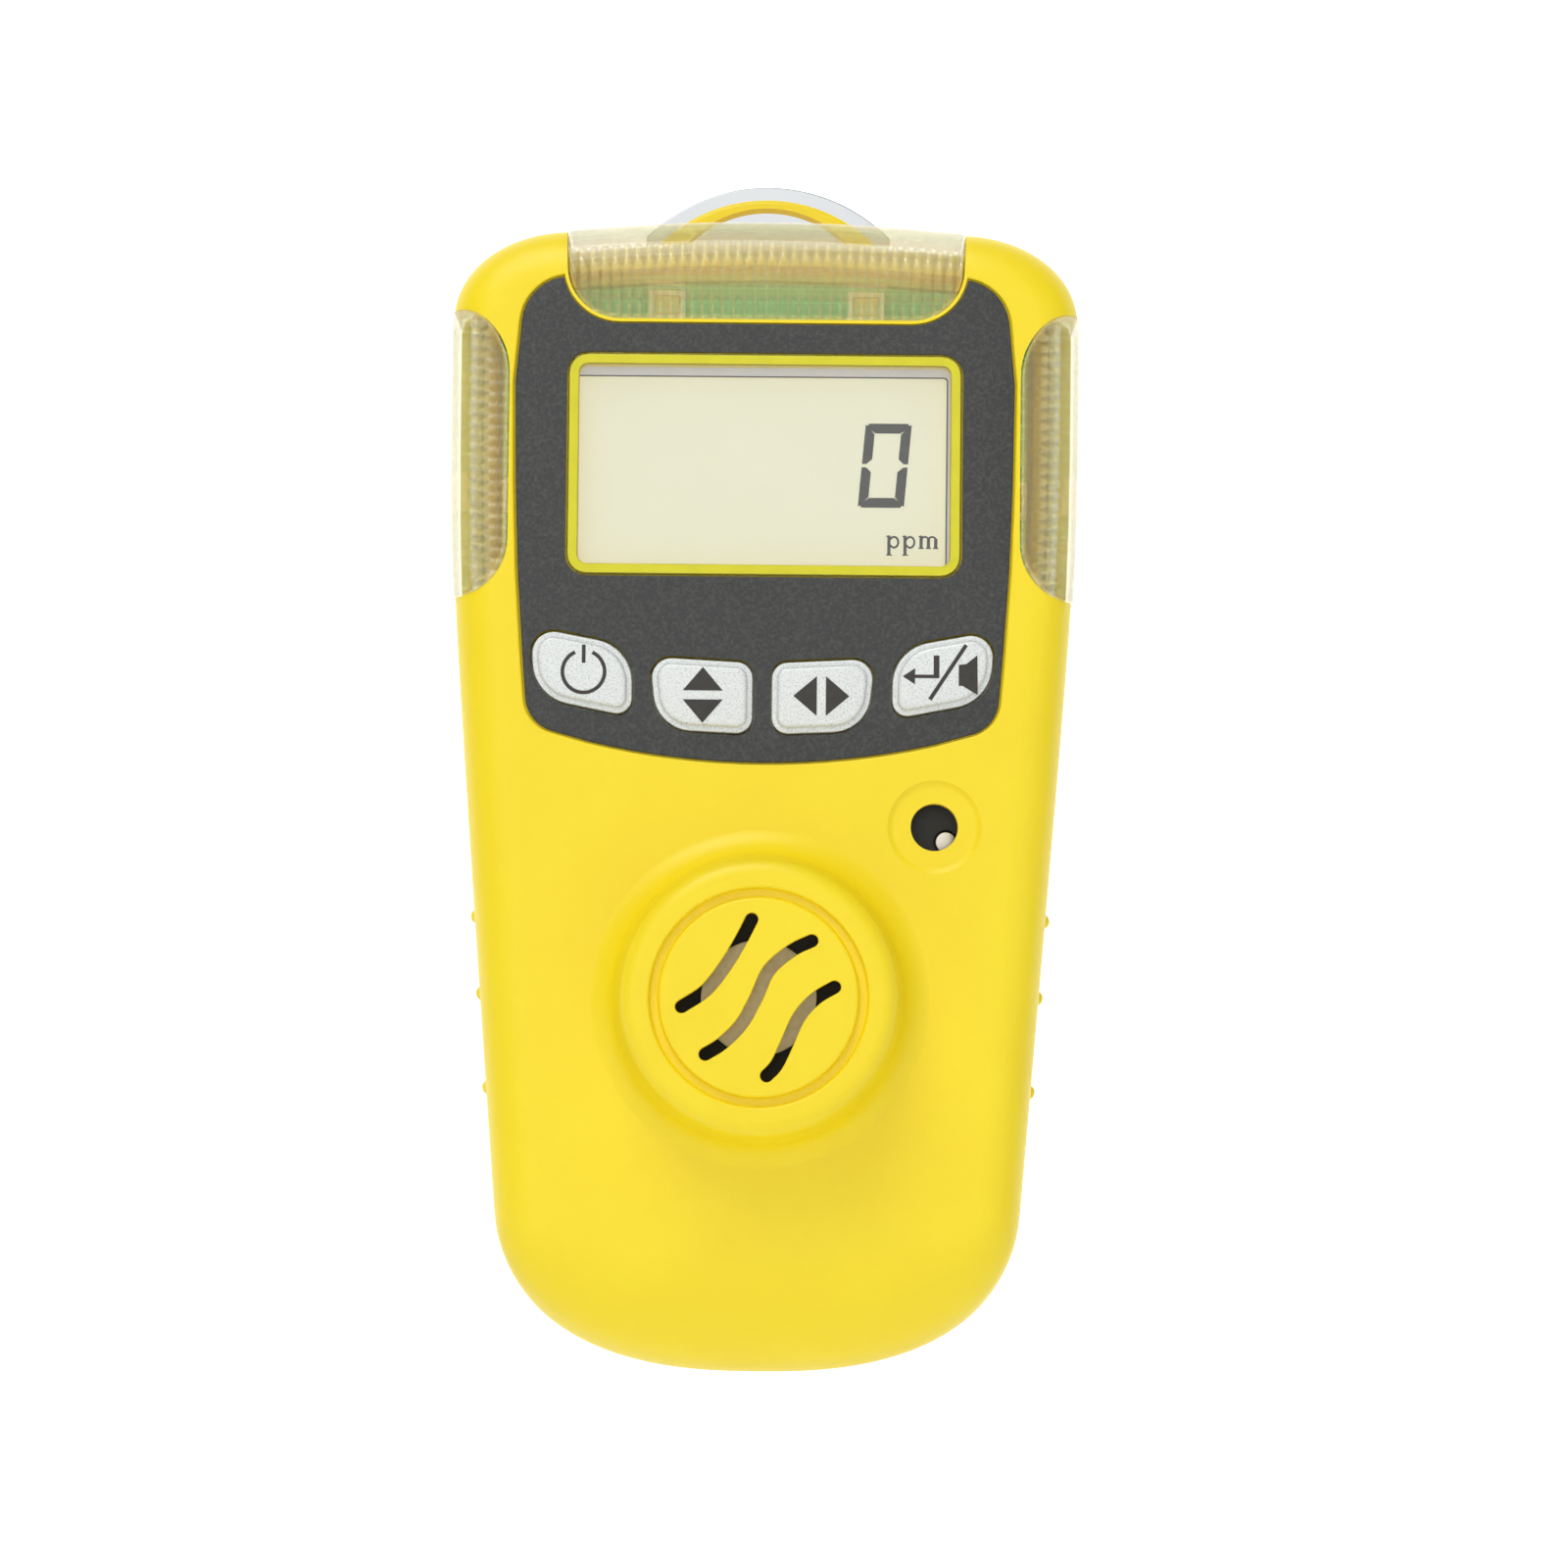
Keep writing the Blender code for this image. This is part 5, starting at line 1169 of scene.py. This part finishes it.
class GASDETECTOR_OT_display(bpy.types.Operator):
    """Builds the window, its printed border, the display glass, its film and the reading"""

    bl_idname = "gasdetector.display"
    bl_label = "Display"

    def execute(self, context):
        ink = context.scene.gas_detector_shape.ink / MM
        window = pillow(window_outline(FIT), PLATE_FACE, PLATE_FACE + PLATE_THICKNESS, 0.12)
        show("display_window_sheet", window, finish("window"), replaces=["display_window"])
        border = carve(
            prism(window_outline(FIT + 0.12), PLATE_FACE - ink, PLATE_FACE),
            cuts=[prism(window_outline(BORDER), PLATE_FACE - 1, PLATE_FACE + 1)],
        )
        show("display_border_print", border, finish("border"), sharp=60)

        face = y_mm(low("lcd_panel").y)
        back = y_mm(high("lcd_panel").y)
        half, tall = x_mm(high("lcd_panel").x), z_mm(high("lcd_panel").z) - WINDOW_Z
        glass = pillow(rectangle(half, WINDOW_Z - tall, WINDOW_Z + tall, 0.2), face + 0.2, back, 0.1)
        show("display_glass", glass, finish("glass"), replaces=["lcd_panel"])
        # The film stops short of the glass at the top and the right, which leaves a ledge there, made pale by
        # a painted reflection and a painted glow.
        right = WINDOW_WIDTH / 2 - BORDER - LEDGE_RIGHT
        top = WINDOW_Z + WINDOW_HEIGHT / 2 - BORDER - LEDGE_TOP
        left, bottom = -half + FILM_IN, WINDOW_Z - tall + FILM_IN
        middle = (left + right) / 2
        film = rectangle((right - left) / 2, bottom, top, 0.3, middle)
        show("display_film", prism(film, face + 0.1, face + 0.2), finish("polariser"))
        rim = prism(grown(film, 0.14), face + 0.15, face + 0.2)
        rim = carve(rim, cuts=[prism(film, face, face + 1)])
        show("display_film_edge", rim, finish("segment"))

        marks = (*self.digit(*DIGIT_AT, *DIGIT_SIZE), *self.unit(*UNIT_AT))
        for number, outline in enumerate(marks, 1):
            mark = prism(outline, face + 0.1 - ink, face + 0.1)
            show(f"display_mark_{number:02d}", mark, finish("segment"), sharp=60)
        return {"FINISHED"}

    def digit(self, x, z, wide, tall):
        """A nought in seven-segment form, leaning to the right."""
        t, gap, mid = 0.92, 0.07, tall / 2
        top = [(gap + 0.3, tall), (gap, tall - 0.3), (t + gap, tall - t), (wide - t - gap, tall - t)]
        top += [(wide - gap, tall - 0.3), (wide - gap - 0.3, tall)]
        upper = [(0, tall - gap), (0, mid + 0.15), (t * 0.45, mid + 0.15), (t, mid + 0.6)]
        upper.append((t, tall - t - gap))
        base = [top, upper, [(wide - a, b) for a, b in upper[::-1]]]
        both = base + [[(a, tall - b) for a, b in outline[::-1]] for outline in base]
        lean = tan(radians(5.0))
        return [[(x + a + b * lean, z + b) for a, b in outline] for outline in both]

    def unit(self, x, z):
        """The unit mark ppm in a serif letter, built from pen strokes."""
        pen, serif, tall, drop = 0.3, 0.12, 1.15, 0.65
        strokes = []
        for start in (x, x + 1.5):
            strokes.append(strip([(start + 0.25, z - drop), (start + 0.25, z + tall)], pen))
            strokes.append(strip([(start, z - drop), (start + 0.55, z - drop)], serif))
            strokes.append(strip([(start, z + tall - 0.08), (start + 0.25, z + tall)], serif))
            turns = [radians(150 - 300 * k / 16) for k in range(17)]
            bowl = [(start + 0.72 + 0.4 * cos(t), z + 0.55 + 0.5 * sin(t)) for t in turns]
            strokes.append(strip(bowl, 0.2))
        start, leg_pitch = x + 3.0, 0.68
        for k in range(3):
            leg = start + 0.25 + leg_pitch * k
            strokes.append(strip([(leg, z), (leg, z + tall - (0.0 if k == 0 else 0.25))], pen))
            strokes.append(strip([(leg - 0.25, z), (leg + 0.25, z)], serif))
        half = leg_pitch / 2
        for k in range(2):
            leg = start + 0.25 + leg_pitch * k
            turns = [pi * j / 10 for j in range(11)]
            arch = [(leg + half - half * cos(t), z + 0.78 + 0.28 * sin(t)) for t in turns]
            strokes.append(strip(arch, 0.18))
        strokes.append(strip([(start, z + tall - 0.08), (start + 0.25, z + tall)], serif))
        return strokes


class GASDETECTOR_OT_keys(bpy.types.Operator):
    """Builds the four keys and their printed symbols"""

    bl_idname = "gasdetector.keys"
    bl_label = "Keys"

    def execute(self, context):
        ink = context.scene.gas_detector_shape.ink / MM
        symbols = {
            "key_power": self.power(),
            "key_up_down": self.arrows(upright=True),
            "key_left_right": self.arrows(upright=False),
            "key_enter_mute": self.enter_and_mute(),
        }
        for name, (corners, side) in KEYS.items():
            show(f"{name}_cap", self.cap(name, corners, side), finish("keys"), name, [name])
            x, z = key_centre(name)
            for number, outline in enumerate(symbols[name], 1):
                outline = [(x + a, z + b) for a, b in outline]
                mark = prism(outline, KEY_TOP - ink, KEY_TOP)
                show(f"{name}_symbol_{number}", mark, finish("ink"), name, sharp=60)
        return {"FINISHED"}

    def cap(self, name, corners, side):
        """A flange behind the shell, a skirt just above the plate and a raised rounded plateau."""
        back = y_mm(high(name).y) - GAP
        front = back - FLANGE_THICKNESS
        skirt_y, radius = FRONT_Y - 0.12, 0.38
        rise = [(KEY_TOP + radius * (1 - sin(t)), -KEY_SKIRT - radius * (1 - cos(t))) for t in steps_in(5)]
        sections = [
            (back, FLANGE),
            (front, FLANGE),
            (front - 0.01, 0),
            (skirt_y + 0.15, 0),
            (skirt_y + 0.04, -0.05),
            (skirt_y, -0.15),
            (skirt_y + 0.02, -KEY_SKIRT + 0.05),
            (skirt_y - 0.08, -KEY_SKIRT),
            *rise,
        ]
        return stacked(key_outline(corners, side), sections)

    def power(self):
        """An open ring with a bar in its gap."""
        x, z, radius, pen = 0.15, -0.05, 1.96, 0.34
        start, sweep, steps = 114, 312, 40
        turns = [radians(start + sweep * k / steps) for k in range(steps + 1)]
        ring = strip([(x + radius * cos(t), z + radius * sin(t)) for t in turns], pen)
        return [ring, strip([(x, z + 0.8), (x, z + 2.5)], pen)]

    def arrows(self, upright):
        """Two solid triangles back to back."""
        near, far, half = 0.42, 2.6, 1.85
        triangle = [(-half, near), (half, near), (0, far)]
        both = [triangle, [(-a, -b) for a, b in triangle]]
        if upright:
            return both
        return [[(b, -a) for a, b in outline] for outline in both]

    def enter_and_mute(self):
        """A hooked arrow, a slash and a loudspeaker."""
        head = [(-3.7, -0.2), (-2.55, -0.95), (-2.55, 0.55)]
        hook = [(-2.55, -0.36), (-0.3, -0.36), (-0.3, 1.75), (-0.83, 1.75), (-0.83, -0.04), (-2.55, -0.04)]
        slash = strip([(-1.16, -2.35), (2.17, 2.76)], 0.36)
        speaker = [(1.5, -1.05), (1.85, -1.05), (3.28, -1.9), (3.22, 1.8), (2.18, 0.97), (1.5, 0.9)]
        return [head, hook, slash, speaker]


class GASDETECTOR_OT_lights(bpy.types.Operator):
    """Builds the alarm LEDs seen through the lenses"""

    bl_idname = "gasdetector.lights"
    bl_label = "Alarm LEDs"

    def execute(self, context):
        for name in ("alarm_led_top_left", "alarm_led_top_right", "alarm_led_left", "alarm_led_right"):
            near, far = low(name), high(name)
            x, z = centre_of(name)
            half, tall = x_mm(far.x - near.x) / 2, (far.z - near.z) / 2 / MM
            front, back = y_mm(near.y), y_mm(far.y)
            well = rectangle(half - LED_RIM, z - tall + LED_RIM, z + tall - LED_RIM, 0.3, x)
            case = pillow(rectangle(half, z - tall, z + tall, 0.15, x), front, back, 0.12)
            cutter = stacked(well, [(front + LED_WELL, -0.15), (front - 0.5, 0.15)])
            case = carve(case, cuts=[cutter])
            show(f"{name}_case", case, finish("white_plastic"), replaces=[name])
            resin = pillow(grown(well, -0.12), front + 0.12, front + LED_WELL - 0.01, 0.1)
            show(f"{name}_resin", resin, finish("led"))
        return {"FINISHED"}


class GASDETECTOR_OT_sounder(bpy.types.Operator):
    """Builds the buzzer behind its port, with its metal diaphragm"""

    bl_idname = "gasdetector.sounder"
    bl_label = "Sounder"

    def execute(self, context):
        near, far = low("buzzer"), high("buzzer")
        at = centre_of("buzzer")
        radius, front, back = x_mm(far.x - near.x) / 2, y_mm(near.y), y_mm(far.y)
        hole, depth = 1.1, 0.9
        corners = (
            (0, front + depth, 0),
            (hole, front + depth, 0),
            (hole, front, 0.12),
            (radius, front, 0.4),
            (radius, back, 0.2),
            (0, back, 0),
        )
        can = turned(softened(corners, 4, closed=False), at)
        show("buzzer_can", can, finish("black_plastic"), replaces=["buzzer"])
        disc = drum(at, hole - 0.1, front + 0.15, front + depth - 0.05, 0.1)
        show("buzzer_diaphragm", disc, finish("diaphragm"))
        return {"FINISHED"}


class GASDETECTOR_OT_sensor(bpy.types.Operator):
    """Builds the filter disc and the gasket seen behind the grille"""

    bl_idname = "gasdetector.sensor"
    bl_label = "Sensor"

    def execute(self, context):
        at = (0.0, SENSOR_Z)
        filter_radius = x_mm(high("sensor_filter").x)
        front, back = y_mm(low("sensor_filter").y), y_mm(high("sensor_filter").y)
        disc = drum(at, filter_radius, front, back, 0.12, 96)
        show("sensor_filter_disc", disc, finish("filter"), replaces=["sensor_filter"])
        outer = x_mm(high("sensor_gasket").x)
        front, back = y_mm(low("sensor_gasket").y), y_mm(high("sensor_gasket").y)
        inner, lip, face = filter_radius + FIT, 0.3, 1.6
        section = [(outer, front), (outer, back), (inner, back), (inner, back - lip), (outer - face, front)]
        show("sensor_gasket_ring", hoop(section, at), finish("rubber"), replaces=["sensor_gasket"])
        return {"FINISHED"}


class GASDETECTOR_OT_screws(bpy.types.Operator):
    """Builds the pan-head screws with cross recesses"""

    bl_idname = "gasdetector.screws"
    bl_label = "Screws"

    def execute(self, context):
        for name in (*CASE_SCREWS, "board_screw_upper", "board_screw_lower", "clip_screw"):
            near, far = low(name), high(name)
            self.screw(name, centre_of(name), y_mm(near.y), y_mm(far.y), x_mm(far.x - near.x) / 2)
        return {"FINISHED"}

    def screw(self, name, at, tip, top, head):
        height = CASE_HEAD_HEIGHT if name in CASE_SCREWS else SMALL_HEAD_HEIGHT
        seat = top - height
        corners = (
            (0, tip, 0),
            (SCREW_RADIUS * 0.3, tip, 0),
            (SCREW_RADIUS, tip + 1.0, 0),
            (SCREW_RADIUS, seat, 0),
            (head, seat, 0.15),
            (head, seat + height * 0.55, 0.5),
            (head * 0.55, top, 0.6),
            (0, top, 0),
        )
        body = turned(softened(corners, 5, closed=False), at, 48)
        arm, thick, deep = head * 0.55, 0.24, 0.75
        cuts = []
        for wide, tall in ((arm, thick), (thick, arm)):
            slot = rectangle(wide, at[1] - tall, at[1] + tall, 0.1, at[0])
            cuts.append(stacked(slot, [(top - deep, -0.06), (top + 1, 0.05)]))
        show(f"{name}_turned", carve(body, cuts=cuts), finish("steel"), replaces=[name])


class GASDETECTOR_OT_back_fittings(bpy.types.Operator):
    """Builds the charging contacts and the blank label on the back"""

    bl_idname = "gasdetector.back_fittings"
    bl_label = "Contacts and Label"

    def execute(self, context):
        ink = context.scene.gas_detector_shape.ink / MM
        for name in ("charge_contact_left", "charge_contact_right"):
            at = centre_of(name)
            inside, face = y_mm(low(name).y), y_mm(high(name).y)
            corners = (
                (0, inside, 0),
                (CONTACT_STEM, inside, 0.1),
                (CONTACT_STEM, face - CONTACT_CAP, 0),
                (CONTACT_HEAD, face - CONTACT_CAP, 0.1),
                (CONTACT_HEAD, face, 0.3),
                (1.1, face, 0.2),
                (0.9, face - 0.12, 0.2),
                (0, face - 0.12, 0),
            )
            pin = turned(softened(corners, 4, closed=False), at, 64)
            show(f"{name}_pin", pin, finish("gold"), replaces=[name])
        front, back = y_mm(low("rating_label").y), y_mm(high("rating_label").y)
        label = turn_round(pillow(mirrored(rating_outline(FIT)), -back, -front, 0.08))
        show("rating_label_film", label, finish("label"), replaces=["rating_label"])
        rule = carve(
            prism(rating_outline(1.0), back, back + ink),
            cuts=[prism(rating_outline(1.22), back - 1, back + 1)],
        )
        show("rating_label_rule", rule, finish("ink"), sharp=60)
        return {"FINISHED"}


class GASDETECTOR_OT_belt_clip(bpy.types.Operator):
    """Builds the belt clip: its plate, lever, pin and spring"""

    bl_idname = "gasdetector.belt_clip"
    bl_label = "Belt Clip"

    def execute(self, context):
        self.plate()
        self.lever()
        reach = x_mm(high("clip_pin").x)
        pin = drum((0.0, 0.0), PIN_RADIUS, -reach, reach, 0.25, 64)
        bmesh.ops.rotate(pin, matrix=Matrix.Rotation(-pi / 2, 3, "Z"), verts=pin.verts)
        bmesh.ops.translate(pin, vec=(0.0, PIVOT_Y, PIVOT_Z), verts=pin.verts)
        show("clip_pin_turned", pin, finish("steel"), replaces=["clip_pin"])
        show("clip_spring_coil", self.spring(), finish("steel"), replaces=["clip_spring"])
        return {"FINISHED"}

    def cheek(self, x, round_y, far_y, tall):
        """A side cheek with a round end at the pin."""
        turns = [pi * k / 24 for k in range(25)]
        outline = [(PIVOT_Y + round_y * sin(t), PIVOT_Z + tall * cos(t)) for t in turns]
        outline += [(far_y, PIVOT_Z - tall), (far_y, PIVOT_Z + tall)]
        return sideways(outline, *x)

    def pin_hole(self):
        return sideways(ring_outline(PIVOT_Y, PIVOT_Z, PIN_RADIUS + FIT, 48), -CLIP_HALF - 1, CLIP_HALF + 1)

    def plate(self):
        outline = rectangle(CLIP_HALF, CLIP_BOTTOM, CLIP_TOP, 2.5)
        plate = turn_round(pillow(mirrored(outline), -CLIP_Y, -PLATE_Y, 0.2))
        ears = []
        for side in (-1, 1):
            x = sorted((side * CLIP_HALF, side * (CLIP_HALF - CLIP_SHEET)))
            ears.append(self.cheek(x, EAR_OUT, PLATE_Y + CLIP_SHEET / 2, EAR_RADIUS))
        hole = drum((0.0, CLIP_SCREW_Z), SCREW_RADIUS + GAP, PLATE_Y - 1, CLIP_Y + 1)
        plate = carve(plate, ears, [hole, self.pin_hole()])
        show("clip_plate_pressing", plate, finish("chrome"), replaces=["clip_plate"], even=True)

    def lever(self):
        """One bent sheet: jaw, flat, cheeks and flared thumb tab."""
        jaw_y = CLIP_Y + GAP + CLIP_SHEET / 2
        # Bends as (y, z, radius), from the jaw's tip up to the tab.
        bends = (
            (jaw_y, JAW_Z, 0),
            (jaw_y + 2.1, JAW_Z + 1.9, 1.0),
            (LEVER_Y - 1.6, JAW_Z + 4.4, 2.0),
            (LEVER_Y - 0.4, JAW_Z + 7.6, 4.0),
            (LEVER_Y, JAW_Z + 12.0, 12.0),
            (LEVER_Y, PIVOT_Z + 5.0, 20.0),
            (LEVER_Y + 0.35 * TAB_FLARE, PIVOT_Z + 14.0, 30.0),
            (LEVER_Y + TAB_FLARE, TAB_PEAK + 1.5, 0),
        )
        path = softened(bends, 6, closed=False)
        sheet = sideways(strip(path, CLIP_SHEET), -TAB_HALF - 1, TAB_HALF + 1)
        centre = TAB_PEAK - TAB_RADIUS
        reach = atan2(sqrt(TAB_RADIUS**2 - TAB_HALF**2), TAB_HALF)
        turns = [reach + (pi - 2 * reach) * k / 64 for k in range(65)]
        arc = [(TAB_RADIUS * cos(t), centre + TAB_RADIUS * sin(t)) for t in turns]
        neck = PIVOT_Z + EAR_RADIUS + 3.0
        start = (-LEVER_HALF, JAW_Z - 3, 0)
        right = [start, (LEVER_HALF, JAW_Z - 3, 0), (LEVER_HALF, neck, 3.0), (TAB_HALF, neck + 5.0, 2.0)]
        right.append((TAB_HALF, neck + 6.5, 0))
        right = softened(right, 6, closed=False)[1:]
        form = prism(right + arc + [(-x, z) for x, z in reversed(right)], CLIP_Y - 2, LEVER_Y + TAB_FLARE + 4)
        cheeks = []
        for side in (-1, 1):
            x = sorted((side * LEVER_HALF, side * (LEVER_HALF - CLIP_SHEET)))
            cheeks.append(self.cheek(x, -CHEEK_IN, LEVER_Y, EAR_RADIUS - 0.5))
        lever = carve(carve(sheet, keeps=[form]), cheeks, [self.pin_hole()])
        piece = show("clip_lever_pressing", lever, finish("chrome"), "clip_lever", ["clip_lever"])
        # Tumbling takes the burr off the sheet's edges.
        ease = piece.modifiers.new("tumbled edges", "BEVEL")
        ease.width = 0.12 * MM
        ease.segments = 2
        ease.angle_limit = radians(50)

    def spring(self):
        """A torsion coil round the pin, one arm on the plate and one under the lever."""
        turns, per_turn, pitch, arm = 4.5, 32, 1.25, 5.0
        start = -pitch * turns / 2
        points = [(start, PIVOT_Y - COIL_RADIUS, PIVOT_Z - arm)]
        for k in range(int(turns * per_turn) + 1):
            t = pi - 2 * pi * k / per_turn
            along = start + pitch * k / per_turn
            points.append((along, PIVOT_Y + COIL_RADIUS * cos(t), PIVOT_Z + COIL_RADIUS * sin(t)))
        points.append((start + pitch * turns, PIVOT_Y + COIL_RADIUS, PIVOT_Z - arm))
        return tube(points, WIRE_RADIUS)


CARRIED = {
    "case_seal": "amber_seal",
    "main_pcb": "board",
    "lcd_holder": "white_plastic",
    "buzzer_gasket": "foam",
    "vibration_motor": "steel",
    "motor_weight": "steel",
    "motor_holder": "rubber",
    "sensor_cell": "cell_housing",
    "sensor_socket": "black_plastic",
    "battery_pack": "battery_wrap",
    "battery_pad": "foam",
    "battery_connector": "white_plastic",
    "battery_lead_positive": "red_wire",
    "battery_lead_negative": "black_wire",
}
CARRIED.update({f"tact_switch_{i}": "black_plastic" for i in range(1, 5)})
CARRIED.update({f"tact_button_{i}": "white_plastic" for i in range(1, 5)})


class GASDETECTOR_OT_inner_finishes(bpy.types.Operator):
    """Gives the pieces inside the casing their finishes"""

    bl_idname = "gasdetector.inner_finishes"
    bl_label = "Inner Finishes"

    def execute(self, context):
        for name, look in CARRIED.items():
            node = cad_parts[name]
            node.data.materials.clear()
            node.data.materials.append(finish(look))
        return {"FINISHED"}


class GASDETECTOR_PT_panel(bpy.types.Panel):
    """The sidebar panel that lists the steps and settings"""

    bl_label = "Gas Detector"
    bl_idname = "GASDETECTOR_PT_panel"
    bl_space_type = "VIEW_3D"
    bl_region_type = "UI"
    bl_category = "Gas Detector"

    def draw(self, context):
        for group in GROUPS:
            settings = getattr(context.scene, group)
            box = self.layout.box()
            for name in settings.__annotations__:
                box.prop(settings, name)
        for operator in OPERATORS:
            self.layout.operator(operator.bl_idname)


GROUPS = {
    "gas_detector_shape": GasDetectorShape,
    "gas_detector_colours": GasDetectorColours,
    "gas_detector_studio": GasDetectorStudio,
}
OPERATORS = (
    GASDETECTOR_OT_studio,
    GASDETECTOR_OT_front_shell,
    GASDETECTOR_OT_rear_shell,
    GASDETECTOR_OT_lenses,
    GASDETECTOR_OT_faceplate,
    GASDETECTOR_OT_display,
    GASDETECTOR_OT_keys,
    GASDETECTOR_OT_lights,
    GASDETECTOR_OT_sounder,
    GASDETECTOR_OT_sensor,
    GASDETECTOR_OT_screws,
    GASDETECTOR_OT_back_fittings,
    GASDETECTOR_OT_belt_clip,
    GASDETECTOR_OT_inner_finishes,
)


def register():
    for group, made in GROUPS.items():
        bpy.utils.register_class(made)
        setattr(bpy.types.Scene, group, PointerProperty(type=made))
    for made in (*OPERATORS, GASDETECTOR_PT_panel):
        bpy.utils.register_class(made)


def unregister():
    for made in (GASDETECTOR_PT_panel, *reversed(OPERATORS)):
        bpy.utils.unregister_class(made)
    for group, made in GROUPS.items():
        delattr(bpy.types.Scene, group)
        bpy.utils.unregister_class(made)


def main():
    register()
    bpy.ops.gasdetector.studio()
    bpy.ops.gasdetector.front_shell()
    bpy.ops.gasdetector.rear_shell()
    bpy.ops.gasdetector.lenses()
    bpy.ops.gasdetector.faceplate()
    bpy.ops.gasdetector.display()
    bpy.ops.gasdetector.keys()
    bpy.ops.gasdetector.lights()
    bpy.ops.gasdetector.sounder()
    bpy.ops.gasdetector.sensor()
    bpy.ops.gasdetector.screws()
    bpy.ops.gasdetector.back_fittings()
    bpy.ops.gasdetector.belt_clip()
    bpy.ops.gasdetector.inner_finishes()


if __name__ == "__main__":
    main()
